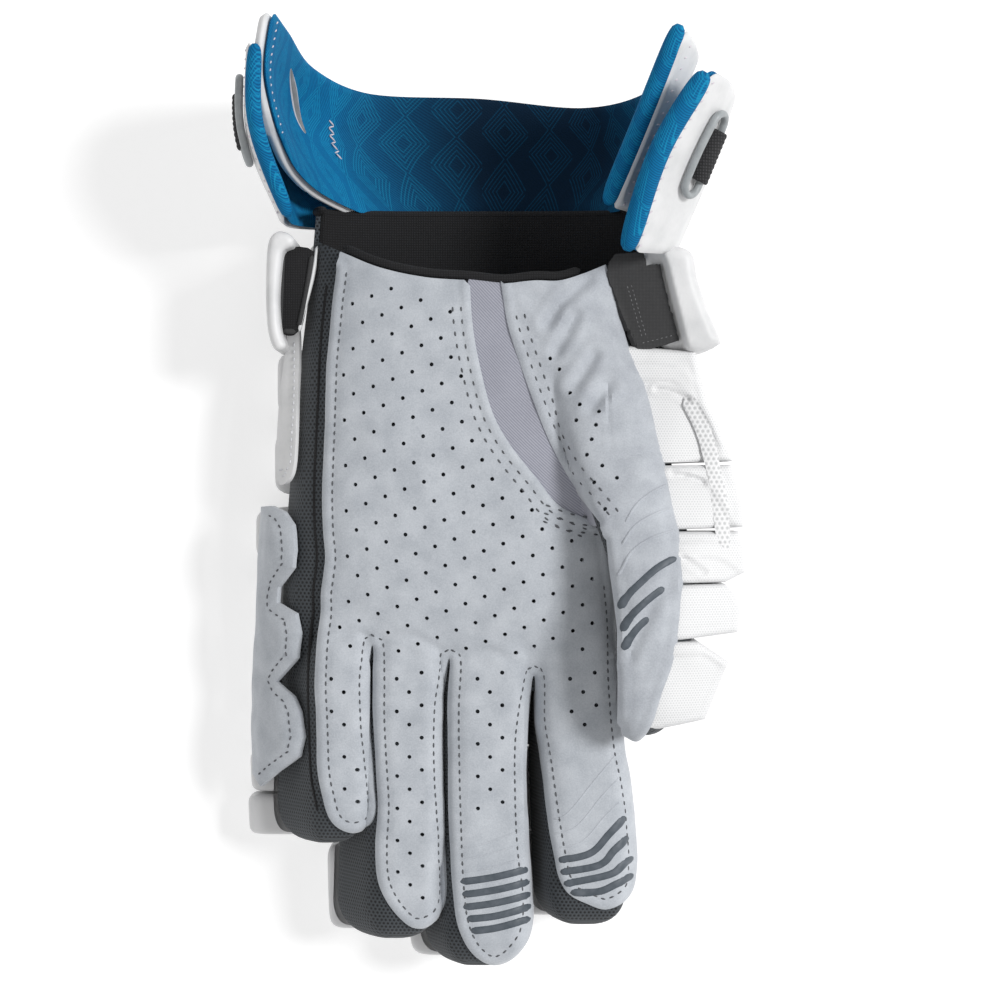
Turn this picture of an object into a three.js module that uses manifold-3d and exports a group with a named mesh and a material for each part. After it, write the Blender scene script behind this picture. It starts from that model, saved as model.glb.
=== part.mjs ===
// Left-hand lacrosse glove, lying palm up on the foam of its back.
// Millimetres. +X points towards the thumb, +Y towards the cuff, +Z out of the palm.
// The tables hold shares of the sizes named above them. Along is measured from the wrist edge of the
// palm to the tip of the longest finger, across from the middle of the glove, deep from the back wall up.
import * as THREE from 'three';
import { mergeVertices } from 'three/addons/utils/BufferGeometryUtils.js';
import Module from 'manifold-3d';

const wasm = await Module();
wasm.setup();

// Hand
const HAND_LENGTH = 240;
const PALM_WIDTH = 100;
const HAND_DEPTH = 40;
const MESH_WALL = 1.8;
const LEATHER = 1.3;
const KNIT_WALL = 1.4;
const CLEARANCE = 0.3;
const SQUARENESS = 3;
const BLUNT_END = 0.6;
const TIP_RING = 0.65;

// Foam pads
const PAD_DEPTH = 15;
const PAD_WRAP = 3;
const PAD_GAP = 0.8;
const ROLL_ROUND = 5;
const WRIST_PAD_HEIGHT = 56;
const WRIST_PAD_LENGTH = 42;

// Fingers, palm side
const FINGER_DEPTH = 36;
const FINGER_ROOT = 95;
const ROLLS_START = 104;
const FINGER_PANEL_INSET = 1.2;
const TIP_ROUND = 15;
const SCALLOP_STEPS = 6;

// Cuff
const CUFF_REACH = 80;
const CUFF_LENGTH = 70;
const CUFF_HEIGHT = 85;
const CUFF_SEAM = 27;
const SHELL = 4;
const LINING = 1.5;
const LAYER_GAP = 0.6;
const FLAP_FOAM = 2.2;
const WEBBING = 1.2;
const LOOP_LENGTH = 30;
const LOOP_WIDTH = 11;
const LOOP_BAR = 2.4;
const LOOP_DEPTH = 2.4;
const FASTENER_UP = 0.79;
const WEBBING_OFFSET = 0.05;
const WEBBING_SPREAD = 0.035;

const COLORS = {
  suede: 0xb9bec6,
  mesh: 0x464c52,
  gusset: 0x8c8e9b,
  white: 0xf0f0f0,
  blue: 0x0a78b9,
  charcoal: 0x414141,
  plastic: 0x969b9e,
  black: 0x181818,
};

// Hand sections: along, palm left, palm right, back left, back right, palm face, back face
const HAND_SECTIONS = [
  [-0.13, -0.62, 0.44, -0.68, 0.56, 1.00, 0.0],
  [-0.03, -0.61, 0.47, -0.72, 0.62, 1.03, 0.0],
  [0.10, -0.62, 0.51, -0.77, 0.66, 1.08, 0.0],
  [0.27, -0.65, 0.51, -0.81, 0.64, 1.10, 0.0],
  [0.43, -0.67, 0.45, -0.84, 0.52, 1.03, 0.0],
  [0.55, -0.67, 0.43, -0.85, 0.42, 0.93, 0.0],
];

// Thumb sections, same columns
const THUMB_SECTIONS = [
  [0.17, 0.20, 0.54, 0.28, 0.62, 1.20, 0.30],
  [0.30, 0.29, 0.60, 0.38, 0.69, 1.42, 0.60],
  [0.43, 0.39, 0.66, 0.47, 0.74, 1.55, 0.85],
  [0.54, 0.40, 0.64, 0.49, 0.72, 1.55, 0.90],
  [0.66, 0.42, 0.58, 0.48, 0.66, 1.45, 0.95],
];

// Fingers: reach of the tip in mm, then shares: root left, root right, tip left, tip right,
// lean of the back at the root and at the tip, palm face at the root and at the tip, rolls of foam
const FINGERS = [
  {
    name: 'little', reach: 200, root: [-0.64, -0.45], tip: [-0.64, -0.44],
    lean: [-0.15, -0.20], face: [1.05, 0.92], rolls: 6,
  },
  {
    name: 'ring', reach: 235, root: [-0.43, -0.19], tip: [-0.43, -0.18],
    lean: [-0.11, -0.19], face: [1.05, 0.86], rolls: 4,
  },
  {
    name: 'middle', reach: 245, root: [-0.16, 0.12], tip: [-0.16, 0.13],
    lean: [-0.08, -0.13], face: [1.05, 0.84], rolls: 4,
  },
  {
    name: 'index', reach: 230, root: [0.16, 0.43], tip: [0.21, 0.50],
    lean: [-0.04, -0.09], face: [1.05, 0.84], rolls: 4,
  },
];

// Wrist edge of the palm: across, along
const WRIST_EDGE = [[-0.65, -0.08], [-0.55, -0.06], [-0.41, -0.035], [-0.25, -0.02], [-0.09, -0.015],
  [0.03, -0.01], [0.14, -0.015], [0.23, -0.015], [0.31, -0.025], [0.39, -0.04]];

// Gusset between palm and thumb: along, left edge, right edge
const GUSSET = [
  [-0.015, -0.09, 0.02],
  [0.05, -0.08, 0.045],
  [0.11, -0.055, 0.09],
  [0.18, -0.01, 0.15],
  [0.23, 0.055, 0.20],
  [0.28, 0.15, 0.265],
  [0.32, 0.23, 0.335],
  [0.345, 0.36, 0.38],
];

// Palm leather below the gusset and up its little-finger side, thumb leather outside and inside edges
const PALM_THUMB_SIDE = [[0.40, 0.36], [0.41, 0.42], [0.42, 0.50], [0.42, 0.54]];
const PALM_OUTER_SIDE = [[-0.62, 0.54], [-0.60, 0.49], [-0.60, 0.44], [-0.62, 0.38], [-0.61, 0.28],
  [-0.59, 0.17], [-0.57, 0.06]];
const THUMB_OUTER_SIDE = [[0.44, 0.03], [0.48, 0.09], [0.53, 0.14], [0.56, 0.19], [0.59, 0.25], [0.62, 0.31],
  [0.65, 0.38], [0.65, 0.46], [0.63, 0.53], [0.59, 0.59], [0.55, 0.64], [0.52, 0.66], [0.47, 0.66]];
const THUMB_INNER_SIDE = [[0.44, 0.63], [0.44, 0.53], [0.43, 0.47], [0.41, 0.41], [0.40, 0.37]];

// White leather along the little-finger side, dark wrist tab and dark strap patch: across, along
const SIDE_PANEL = [[-0.71, 0.07], [-0.705, 0.15], [-0.715, 0.22], [-0.73, 0.27], [-0.77, 0.30],
  [-0.80, 0.31], [-0.79, 0.27], [-0.79, 0.16], [-0.765, 0.085]];
const WRIST_TAB = [[-0.66, -0.06], [-0.72, 0.055], [-0.78, 0.055], [-0.77, -0.06]];
const STRAP_PATCH = [[0.425, -0.06], [0.53, -0.06], [0.58, -0.04], [0.65, 0.06], [0.64, 0.075], [0.50, 0.09],
  [0.45, 0.03]];

// Scalloped side leather: three bulges between the notches
const SCALLOP_NOTCHES = [0.32, 0.445, 0.59, 0.725];
const SCALLOP_NOTCH_ACROSS = -0.78;
const SCALLOP_BULGE_ACROSS = -0.70;
const SCALLOP_OUTER_ACROSS = -0.87;

// Foam across the back of the hand and of the wrist: along start, along end, left, right
const BACK_PADS = [
  [0.075, 0.19, -0.81, 0.62],
  [0.20, 0.31, -0.82, 0.60],
  [0.32, 0.41, -0.89, 0.56],
];

// Thumb guard: along start, outer edge at the start and at the end, top and bottom face
const THUMB_GUARD = [
  [0.105, 0.71, 0.85, 1.05, 0.25],
  [0.265, 0.83, 0.885, 1.12, 0.35],
  [0.355, 0.87, 0.885, 1.15, 0.42],
  [0.432, 0.85, 0.87, 1.20, 0.55],
  [0.518, 0.82, 0.74, 1.25, 0.62],
];
const THUMB_GUARD_END = 0.64;
const GUARD_INNER_ACROSS = 0.55;

// Foam at the wrist: left and right edge; along start and end, outer edge and inner edge at both
const WRIST_PAD_ACROSS = [-0.70, 0.60];
const RIGHT_WRIST_PAD = [-0.065, 0.10, 0.70, 0.79, 0.45, 0.50];
const LEFT_WRIST_PAD = [-0.09, 0.085, -0.81, -0.78, -0.69, -0.68];

// Ribs of the cuff from rim to rim: across, along and up at the wrist, in the middle, at the forearm
const CUFF_RIBS = [
  [-0.97, 0.42, 0.90, -1.01, 0.69, 0.98, -0.98, 0.99, 0.99],
  [-0.89, 0.22, 0.64, -0.99, 0.61, 0.68, -0.93, 0.93, 0.71],
  [-0.73, 0.10, 0.33, -0.91, 0.51, 0.31, -0.84, 0.81, 0.35],
  [-0.45, 0.00, 0.17, -0.64, 0.40, 0.08, -0.61, 0.72, 0.08],
  [-0.06, -0.04, 0.15, -0.06, 0.37, 0.06, -0.06, 0.69, 0.06],
  [0.35, -0.02, 0.16, 0.45, 0.34, 0.08, 0.42, 0.64, 0.08],
  [0.55, 0.00, 0.31, 0.72, 0.37, 0.28, 0.69, 0.68, 0.31],
  [0.58, 0.04, 0.52, 0.73, 0.44, 0.61, 0.87, 0.83, 0.68],
  [0.50, 0.05, 0.72, 0.66, 0.49, 0.88, 0.81, 0.92, 0.98],
];
const LEFT_FLAP_RIBS = [
  [-0.92, -0.02, 0.80, -1.05, 0.44, 1.00, -1.05, 0.84, 1.02],
  [-0.93, -0.03, 0.64, -1.07, 0.40, 0.78, -1.07, 0.80, 0.80],
  [-0.92, -0.03, 0.46, -1.07, 0.38, 0.52, -1.07, 0.74, 0.52],
  [-0.86, -0.02, 0.26, -1.00, 0.36, 0.26, -1.00, 0.68, 0.28],
  [-0.62, -0.02, 0.10, -0.80, 0.34, 0.10, -0.80, 0.62, 0.10],
];
const RIGHT_FLAP_RIBS = [
  [0.60, -0.10, 0.12, 0.70, 0.24, 0.10, 0.66, 0.50, 0.10],
  [0.76, -0.14, 0.30, 0.88, 0.22, 0.30, 0.92, 0.54, 0.30],
  [0.79, -0.17, 0.47, 0.93, 0.21, 0.49, 1.04, 0.60, 0.54],
  [0.73, -0.19, 0.70, 0.88, 0.23, 0.78, 1.03, 0.65, 0.82],
  [0.58, -0.20, 0.87, 0.72, 0.29, 1.01, 0.93, 0.69, 1.05],
];

const mix = THREE.MathUtils.lerp;
const alongToY = (along) => -along * HAND_LENGTH;
const acrossToX = (across) => across * PALM_WIDTH;
const deepToZ = (deep) => PAD_DEPTH + deep * HAND_DEPTH;

// Closed three.js geometry as a solid that can be cut and joined
function toSolid(geometry) {
  const plain = geometry.clone();
  plain.deleteAttribute('normal');
  plain.deleteAttribute('uv');
  const merged = mergeVertices(plain, 1e-4);
  const mesh = new wasm.Mesh({
    numProp: 3,
    vertProperties: new Float32Array(merged.attributes.position.array),
    triVerts: new Uint32Array(merged.index.array),
  });
  mesh.merge();
  return new wasm.Manifold(mesh);
}

// Largest piece of a solid, without the slivers that a cut can leave
function mainPiece(solid) {
  const pieces = solid.decompose();
  return pieces.reduce((best, piece) => (piece.volume() > best.volume() ? piece : best));
}

function toMesh(name, solid, color, roughness) {
  const { vertProperties, triVerts } = mainPiece(solid).getMesh();
  const geometry = new THREE.BufferGeometry();
  geometry.setAttribute('position', new THREE.BufferAttribute(vertProperties, 3));
  geometry.setIndex(new THREE.BufferAttribute(triVerts, 1));
  geometry.computeVertexNormals();
  const material = new THREE.MeshStandardMaterial({ color, roughness, metalness: 0, name });
  const mesh = new THREE.Mesh(geometry, material);
  mesh.name = name;
  return mesh;
}

const join = (solids) => solids.reduce((sum, solid) => sum.add(solid));

// Section of a row table at a place y, straight between its rows
function sectionAt(rows, y) {
  const last = rows.length - 2;
  let index = rows.findIndex((row, i) => i <= last && y >= rows[i + 1].y);
  if (index < 0) index = last;
  const [from, to] = [rows[index], rows[index + 1]];
  const share = THREE.MathUtils.clamp((y - from.y) / (to.y - from.y), 0, 1);
  const section = {};
  for (const key of Object.keys(from)) section[key] = mix(from[key], to[key], share);
  return section;
}

// Places of the rings of a sweep: steps between the rounded ends, and rings of their own in them
function ringPlaces(start, end, startRound, endRound, steps) {
  const first = start - startRound;
  const last = end + endRound;
  const places = startRound > 0 ? [start] : [];
  for (let k = 0; k <= steps; k++) places.push(mix(first, last, k / steps));
  if (endRound > 0) places.push(mix(last, end, TIP_RING), end);
  return places;
}

// Share of the full section at a distance from an end that is rounded over a length
function roundEnd(distance, length) {
  if (length <= 0 || distance >= length) return 1;
  const gone = 1 - Math.max(distance, 0) / length;
  return Math.max(BLUNT_END, Math.sqrt(1 - gone * gone));
}

// Solid along Y with a rounded-square section that leans as the rows say
function sweepSections(rows, grow, options) {
  const { startRound = 0, endRound = 0, sides = 10, steps = 2, reachOut = grow } = options;
  const start = rows[0].y + reachOut;
  const end = rows[rows.length - 1].y - grow;
  const places = ringPlaces(start, end, startRound, endRound, steps);
  const geometry = new THREE.CylinderGeometry(1, 1, 1, sides, places.length - 1);
  const position = geometry.attributes.position;
  for (let i = 0; i < position.count; i++) {
    const radius = Math.min(1, Math.hypot(position.getX(i), position.getZ(i)));
    const y = places[Math.round((0.5 - position.getY(i)) * (places.length - 1))];
    const section = sectionAt(rows, y);
    const narrow = radius * roundEnd(start - y, startRound) * roundEnd(y - end, endRound);
    const angle = Math.atan2(position.getZ(i), position.getX(i));
    const unitX = Math.sign(Math.cos(angle)) * Math.abs(Math.cos(angle)) ** (2 / SQUARENESS);
    const unitZ = Math.sign(Math.sin(angle)) * Math.abs(Math.sin(angle)) ** (2 / SQUARENESS);
    const top = section.top + grow;
    const bottom = section.bottom - grow;
    const z = (top + bottom) / 2 + unitZ * narrow * (top - bottom) / 2;
    const height = (z - bottom) / (top - bottom);
    const left = mix(section.backLeft, section.palmLeft, height) - grow;
    const right = mix(section.backRight, section.palmRight, height) + grow;
    const x = (left + right) / 2 + unitX * narrow * (right - left) / 2;
    position.setXYZ(i, x, y, z);
  }
  return toSolid(geometry);
}

// Straight block over an outline of points in mm
function prism(points, low, high) {
  const shape = new THREE.Shape(points.map(([x, y]) => new THREE.Vector2(x, y)));
  const geometry = new THREE.ExtrudeGeometry(shape, { depth: high - low, bevelEnabled: false });
  geometry.translate(0, 0, low);
  return toSolid(geometry);
}

const outlinePoints = (table) => table.map(([across, along]) => [acrossToX(across), alongToY(along)]);

// Outline moved inwards by a distance, along the bisectors of its corners
function inset(points, distance) {
  const turn = THREE.ShapeUtils.area(points.map(([x, y]) => new THREE.Vector2(x, y))) > 0 ? 1 : -1;
  return points.map((point, i) => {
    const before = points[(i + points.length - 1) % points.length];
    const after = points[(i + 1) % points.length];
    const dx = after[0] - before[0];
    const dy = after[1] - before[1];
    const length = Math.hypot(dx, dy);
    return [point[0] - turn * dy / length * distance, point[1] + turn * dx / length * distance];
  });
}

function sectionRows(table) {
  return table.map(([along, palmLeft, palmRight, backLeft, backRight, top, bottom]) => ({
    y: alongToY(along),
    palmLeft: acrossToX(palmLeft),
    palmRight: acrossToX(palmRight),
    backLeft: acrossToX(backLeft),
    backRight: acrossToX(backRight),
    top: deepToZ(top),
    bottom: deepToZ(bottom),
  }));
}

const handRows = sectionRows(HAND_SECTIONS);
const thumbRows = sectionRows(THUMB_SECTIONS);

function fingerRows(finger) {
  return [0, 1].map((end) => {
    const [left, right] = (end ? finger.tip : finger.root).map(acrossToX);
    const lean = acrossToX(finger.lean[end]);
    return {
      y: -(end ? finger.reach : FINGER_ROOT),
      palmLeft: left,
      palmRight: right,
      backLeft: left + lean,
      backRight: right + lean,
      top: PAD_DEPTH + FINGER_DEPTH * finger.face[end],
      bottom: PAD_DEPTH,
    };
  });
}

// The three forms that every layer of the hand follows, grown or shrunk by a distance
const MOUTH_REACH = 12;
function handForm(grow) {
  return sweepSections(handRows, grow, { sides: 16, steps: 5, reachOut: grow < 0 ? MOUTH_REACH : 0 });
}

const thumbForm = (grow) => sweepSections(thumbRows, grow, { endRound: TIP_ROUND, steps: 4 });
const fingerForm = (finger, grow) => sweepSections(fingerRows(finger), grow, { endRound: TIP_ROUND });
const fingersForm = (grow) => join(FINGERS.map((finger) => fingerForm(finger, grow)));
const bodyForm = (grow) => handForm(grow).add(fingersForm(grow)).add(thumbForm(grow));

const ABOVE = PAD_DEPTH + HAND_DEPTH * 2.5;

// How far down the leather reaches, as a share of the depth of the hand or as a height
const PALM_SKIRT = 0.7;
const THUMB_SKIRT = 0.75;
const GUSSET_SKIRT = 0.6;
const PATCH_SKIRT = 0.3;
const SIDE_SKIRT = PAD_DEPTH + 2 * PAD_WRAP;
const SCALLOP_SKIRT = PAD_DEPTH + PAD_WRAP + 1;
const SEAM = CLEARANCE / 2;
const leatherLayer = bodyForm(CLEARANCE + LEATHER).subtract(bodyForm(CLEARANCE));
const bodyClear = bodyForm(CLEARANCE);
const dressedClear = bodyForm(CLEARANCE * 2 + LEATHER);

// Layer of leather inside an outline, down to a height; the foam keeps clear of its place
const dressedPlaces = [];
function leatherPanel(points, low) {
  dressedPlaces.push(prism(inset(points, SEAM - CLEARANCE), low - CLEARANCE, ABOVE));
  return leatherLayer.intersect(prism(inset(points, SEAM), low, ABOVE));
}

const parts = [];
const addPart = (name, solid, color, roughness) => parts.push(toMesh(name, solid, color, roughness));

// Mesh hand with its wrist mouth cut back on the palm side
function buildHandBody() {
  const cutback = [...outlinePoints(WRIST_EDGE),
    [acrossToX(1), alongToY(-0.04)], [acrossToX(1), CUFF_LENGTH], [-acrossToX(1), CUFF_LENGTH],
    [-acrossToX(1), alongToY(-0.08)]];
  const hollow = handForm(-MESH_WALL).add(fingersForm(-MESH_WALL)).add(thumbForm(-MESH_WALL));
  const body = handForm(0).subtract(hollow).subtract(prism(cutback, deepToZ(0.45), ABOVE));
  addPart('hand_mesh', body, COLORS.mesh, 0.9);

  const knitOuter = handForm(-MESH_WALL - CLEARANCE);
  const knitInner = handForm(-MESH_WALL - CLEARANCE - KNIT_WALL);
  const band = prism([[-PALM_WIDTH, alongToY(0.02)], [PALM_WIDTH, alongToY(0.02)],
    [PALM_WIDTH, alongToY(-0.125)], [-PALM_WIDTH, alongToY(-0.125)]], 0, deepToZ(0.40));
  addPart('wrist_knit', knitOuter.subtract(knitInner).intersect(band), COLORS.black, 0.95);
}

function buildSocks() {
  const handClear = handForm(CLEARANCE);
  for (const finger of FINGERS) {
    const sock = fingerForm(finger, 0).subtract(fingerForm(finger, -MESH_WALL)).subtract(handClear);
    addPart(`${finger.name}_sock`, sock, COLORS.mesh, 0.9);
  }
  const thumb = thumbForm(0).subtract(thumbForm(-MESH_WALL)).subtract(handClear);
  addPart('thumb_sock', thumb.subtract(fingersForm(CLEARANCE)), COLORS.mesh, 0.9);
}

// Panel outline over one finger, with a round tip
function fingerPanel(finger) {
  const [rootLeft, rootRight] = finger.root.map(acrossToX);
  const [tipLeft, tipRight] = finger.tip.map(acrossToX);
  const radius = (tipRight - tipLeft) / 2 - FINGER_PANEL_INSET;
  const centre = new THREE.Vector2((tipLeft + tipRight) / 2, -finger.reach + radius);
  const tip = new THREE.Path().absarc(centre.x, centre.y, radius, 0, -Math.PI, true).getPoints(6);
  const left = rootLeft + FINGER_PANEL_INSET;
  const right = rootRight - FINGER_PANEL_INSET;
  const root = [[left, -FINGER_ROOT], [right, -FINGER_ROOT]];
  return prism([...root, ...tip.map(({ x, y }) => [x, y])], deepToZ(PALM_SKIRT), ABOVE);
}

function buildLeather() {
  const gussetLeft = GUSSET.map(([along, left]) => [left, along]);
  const gussetRight = GUSSET.map(([along, , right]) => [right, along]);
  const middle = gussetLeft[0][0];
  const palmWrist = WRIST_EDGE.filter(([across]) => across <= middle && across > -0.6);
  const palmOutline = outlinePoints([...palmWrist, ...gussetLeft.slice(1),
    ...PALM_THUMB_SIDE, ...PALM_OUTER_SIDE]);
  const thumbWrist = WRIST_EDGE.filter(([across]) => across > gussetRight[0][0]);
  const thumbOutline = outlinePoints([...thumbWrist, ...THUMB_OUTER_SIDE, ...THUMB_INNER_SIDE,
    ...gussetRight.slice().reverse()]);
  const gussetOutline = outlinePoints([...gussetLeft, ...gussetRight.slice().reverse()]);

  const thumbDressed = thumbForm(CLEARANCE * 2 + LEATHER);
  const palmPrism = prism(inset(palmOutline, SEAM), deepToZ(PALM_SKIRT), ABOVE);
  const palmCut = join([palmPrism, ...FINGERS.map(fingerPanel)]);
  const thumbPrism = prism(thumbOutline, 0, ABOVE);
  const palmForm = handForm(CLEARANCE + LEATHER).add(fingersForm(CLEARANCE + LEATHER));
  const palmLayer = palmForm.subtract(bodyForm(CLEARANCE)).intersect(palmCut);
  addPart('palm_leather', palmLayer.subtract(thumbPrism).subtract(thumbDressed), COLORS.suede, 0.85);
  addPart('thumb_leather', leatherPanel(thumbOutline, deepToZ(THUMB_SKIRT)), COLORS.suede, 0.85);
  addPart('thumb_gusset', leatherPanel(gussetOutline, deepToZ(GUSSET_SKIRT)), COLORS.gusset, 0.8);
  addPart('side_panel', leatherPanel(outlinePoints(SIDE_PANEL), SIDE_SKIRT), COLORS.white, 0.6);
  addPart('wrist_tab', leatherPanel(outlinePoints(WRIST_TAB), SIDE_SKIRT), COLORS.charcoal, 0.9);
  const patch = leatherPanel(outlinePoints(STRAP_PATCH), deepToZ(PATCH_SKIRT));
  addPart('strap_patch', patch, COLORS.charcoal, 0.9);
  addPart('side_leather', leatherPanel(scallopOutline(), SCALLOP_SKIRT), COLORS.suede, 0.85);
}

// Side leather with one rounded bulge between each two notches
function scallopOutline() {
  const edge = [];
  for (let k = 0; k + 1 < SCALLOP_NOTCHES.length; k++) {
    for (let step = 0; step < SCALLOP_STEPS; step++) {
      const share = step / SCALLOP_STEPS;
      const out = Math.sqrt(Math.sin(share * Math.PI));
      const across = mix(SCALLOP_NOTCH_ACROSS, SCALLOP_BULGE_ACROSS, out);
      edge.push([across, mix(SCALLOP_NOTCHES[k], SCALLOP_NOTCHES[k + 1], share)]);
    }
  }
  const last = SCALLOP_NOTCHES[SCALLOP_NOTCHES.length - 1];
  edge.push([SCALLOP_NOTCH_ACROSS, last], [SCALLOP_OUTER_ACROSS, last]);
  edge.push([SCALLOP_OUTER_ACROSS, SCALLOP_NOTCHES[0]]);
  return outlinePoints(edge);
}

// Roll of foam between two places along Y, flat where it lies on the floor
function foamRoll(start, end, top, bottom) {
  const rows = [start, end].map(({ y, left, right }) => ({
    y, palmLeft: left, palmRight: right, backLeft: left, backRight: right, top, bottom,
  }));
  const round = Math.min(Math.abs(start.y - end.y) / 3, ROLL_ROUND);
  return sweepSections(rows, 0, { startRound: round, endRound: round, sides: 8, steps: 1 });
}

const FAR = HAND_LENGTH * 2;
const floorBlock = prism([[-FAR, -FAR], [FAR, -FAR], [FAR, FAR], [-FAR, FAR]], 0, FAR);

function addPad(name, roll) {
  const leatherClear = dressedClear.intersect(join(dressedPlaces));
  const solid = roll.intersect(floorBlock).subtract(bodyClear).subtract(leatherClear);
  addPart(name, solid, COLORS.white, 0.7);
}

// Foam rolls behind each finger; neighbours share the space between two fingers
function buildFingerPads() {
  const rows = FINGERS.map(fingerRows);
  const spread = (i, y, side) => {
    const own = sectionAt(rows[i], y);
    const other = rows[i + side];
    const edge = side < 0 ? own.backLeft : own.backRight;
    if (!other) return edge + side * PAD_WRAP;
    const next = sectionAt(other, y);
    return (edge + (side < 0 ? next.backRight : next.backLeft)) / 2 - side * PAD_GAP / 2;
  };
  FINGERS.forEach((finger, i) => {
    const pitch = (finger.reach - ROLLS_START) / finger.rolls;
    for (let k = 0; k < finger.rolls; k++) {
      const ends = [-(ROLLS_START + k * pitch), -(ROLLS_START + (k + 1) * pitch) + PAD_GAP].map((y) => ({
        y, left: spread(i, y, -1), right: spread(i, y, 1),
      }));
      addPad(`${finger.name}_roll_${k + 1}`, foamRoll(ends[0], ends[1], PAD_DEPTH + PAD_WRAP, -PAD_WRAP));
    }
  });
}

function buildBackPads() {
  BACK_PADS.forEach(([from, to, left, right], k) => {
    const ends = [from, to].map((along) => ({
      y: alongToY(along), left: acrossToX(left), right: acrossToX(right),
    }));
    addPad(`back_pad_${k + 1}`, foamRoll(ends[0], ends[1], PAD_DEPTH + PAD_WRAP, -PAD_WRAP));
  });
  const wristStart = alongToY(BACK_PADS[0][0]) + WRIST_PAD_LENGTH;
  const wristEnds = [wristStart, alongToY(BACK_PADS[0][0]) + PAD_GAP].map((y) => ({
    y, left: acrossToX(WRIST_PAD_ACROSS[0]), right: acrossToX(WRIST_PAD_ACROSS[1]),
  }));
  addPad('wrist_pad', foamRoll(wristEnds[0], wristEnds[1], PAD_DEPTH + PAD_WRAP, -PAD_WRAP));
  const [leftFrom, leftTo, outerStart, outerEnd, innerStart, innerEnd] = LEFT_WRIST_PAD;
  const leftRoll = foamRoll(
    { y: alongToY(leftFrom), left: acrossToX(outerStart), right: acrossToX(innerStart) },
    { y: alongToY(leftTo), left: acrossToX(outerEnd), right: acrossToX(innerEnd) },
    WRIST_PAD_HEIGHT, PAD_DEPTH + PAD_WRAP + PAD_GAP);
  addPad('left_wrist_roll', leftRoll);
  const [rightFrom, rightTo, outStart, outEnd, inStart, inEnd] = RIGHT_WRIST_PAD;
  const rightRoll = foamRoll(
    { y: alongToY(rightFrom), left: acrossToX(inStart), right: acrossToX(outStart) },
    { y: alongToY(rightTo), left: acrossToX(inEnd), right: acrossToX(outEnd) },
    WRIST_PAD_HEIGHT, PAD_DEPTH + PAD_WRAP + PAD_GAP);
  addPad('right_wrist_roll', rightRoll);
}

function buildThumbGuard() {
  THUMB_GUARD.forEach(([from, outerStart, outerEnd, top, bottom], k) => {
    const to = k + 1 < THUMB_GUARD.length ? THUMB_GUARD[k + 1][0] : THUMB_GUARD_END;
    const roll = foamRoll(
      { y: alongToY(from), left: acrossToX(GUARD_INNER_ACROSS), right: acrossToX(outerStart) },
      { y: alongToY(to) + PAD_GAP, left: acrossToX(GUARD_INNER_ACROSS), right: acrossToX(outerEnd) },
      deepToZ(top), deepToZ(bottom));
    addPad(`thumb_guard_${k + 1}`, roll);
  });
}

// Curved surface through ribs: each rib runs from the wrist to the forearm, and u crosses the ribs
function ribSurface(ribs) {
  const place = ([across, along, up]) => (
    new THREE.Vector3(across * CUFF_REACH, CUFF_SEAM + along * CUFF_LENGTH, up * CUFF_HEIGHT));
  const curves = [0, 3, 6].map((first) => new THREE.CatmullRomCurve3(
    ribs.map((rib) => place(rib.slice(first, first + 3))), false, 'centripetal'));
  const point = (u, v) => {
    const [wrist, middle, forearm] = curves.map((curve) => curve.getPoint(THREE.MathUtils.clamp(u, 0, 1)));
    const rib = new THREE.CatmullRomCurve3([wrist, middle, forearm]);
    return rib.getPoint(THREE.MathUtils.clamp(v, 0, 1));
  };
  const normal = (u, v) => {
    const step = 0.01;
    const alongU = point(Math.min(u + step, 1), v).sub(point(Math.max(u - step, 0), v));
    const alongV = point(u, Math.min(v + step, 1)).sub(point(u, Math.max(v - step, 0)));
    return alongV.cross(alongU).normalize();
  };
  return { point, normal };
}

// Sheet on a surface between two distances from it; a positive distance is on the hollow side
function sheetOn(surface, [u0, u1], [v0, v1], [near, far], [uSteps, vSteps]) {
  const geometry = new THREE.BoxGeometry(1, 1, 1, uSteps, vSteps, 1);
  const position = geometry.attributes.position;
  for (let i = 0; i < position.count; i++) {
    const u = mix(u0, u1, position.getX(i) + 0.5);
    const v = mix(v0, v1, position.getY(i) + 0.5);
    const distance = mix(near, far, position.getZ(i) + 0.5);
    const place = surface.point(u, v).addScaledVector(surface.normal(u, v), -distance);
    position.setXYZ(i, place.x, place.y, place.z);
  }
  return upright(geometry);
}

function upright(geometry) {
  const solid = toSolid(geometry);
  if (solid.volume() > 0) return solid;
  const flipped = geometry.clone();
  flipped.setIndex(Array.from(geometry.index.array).reverse());
  return toSolid(flipped);
}

// Flat ring laid on a surface, its middle at u and v
function ringOn(surface, u, v, distance, grow) {
  const centre = surface.point(u, v);
  const normal = surface.normal(u, v);
  const long = surface.point(u, Math.min(v + 0.05, 1)).sub(surface.point(u, v - 0.05)).normalize();
  const side = new THREE.Vector3().crossVectors(normal, long).normalize();
  const outline = (halfLong, halfWide) => {
    const straight = halfLong - halfWide;
    const path = new THREE.Path();
    path.absarc(straight, 0, halfWide, -Math.PI / 2, Math.PI / 2, false);
    path.absarc(-straight, 0, halfWide, Math.PI / 2, Math.PI * 1.5, false);
    return path.getPoints(5);
  };
  const shape = new THREE.Shape(outline(LOOP_LENGTH / 2 + grow, LOOP_WIDTH / 2 + grow));
  const inner = LOOP_BAR + grow;
  shape.holes.push(new THREE.Path(outline(LOOP_LENGTH / 2 - inner, LOOP_WIDTH / 2 - inner)));
  const geometry = new THREE.ExtrudeGeometry(shape, { depth: LOOP_DEPTH + 2 * grow, bevelEnabled: false });
  geometry.translate(0, 0, -grow);
  geometry.applyMatrix4(new THREE.Matrix4().makeBasis(long, side, normal));
  const offset = centre.clone().addScaledVector(normal, distance);
  geometry.translate(offset.x, offset.y, offset.z);
  return upright(geometry);
}

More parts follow.
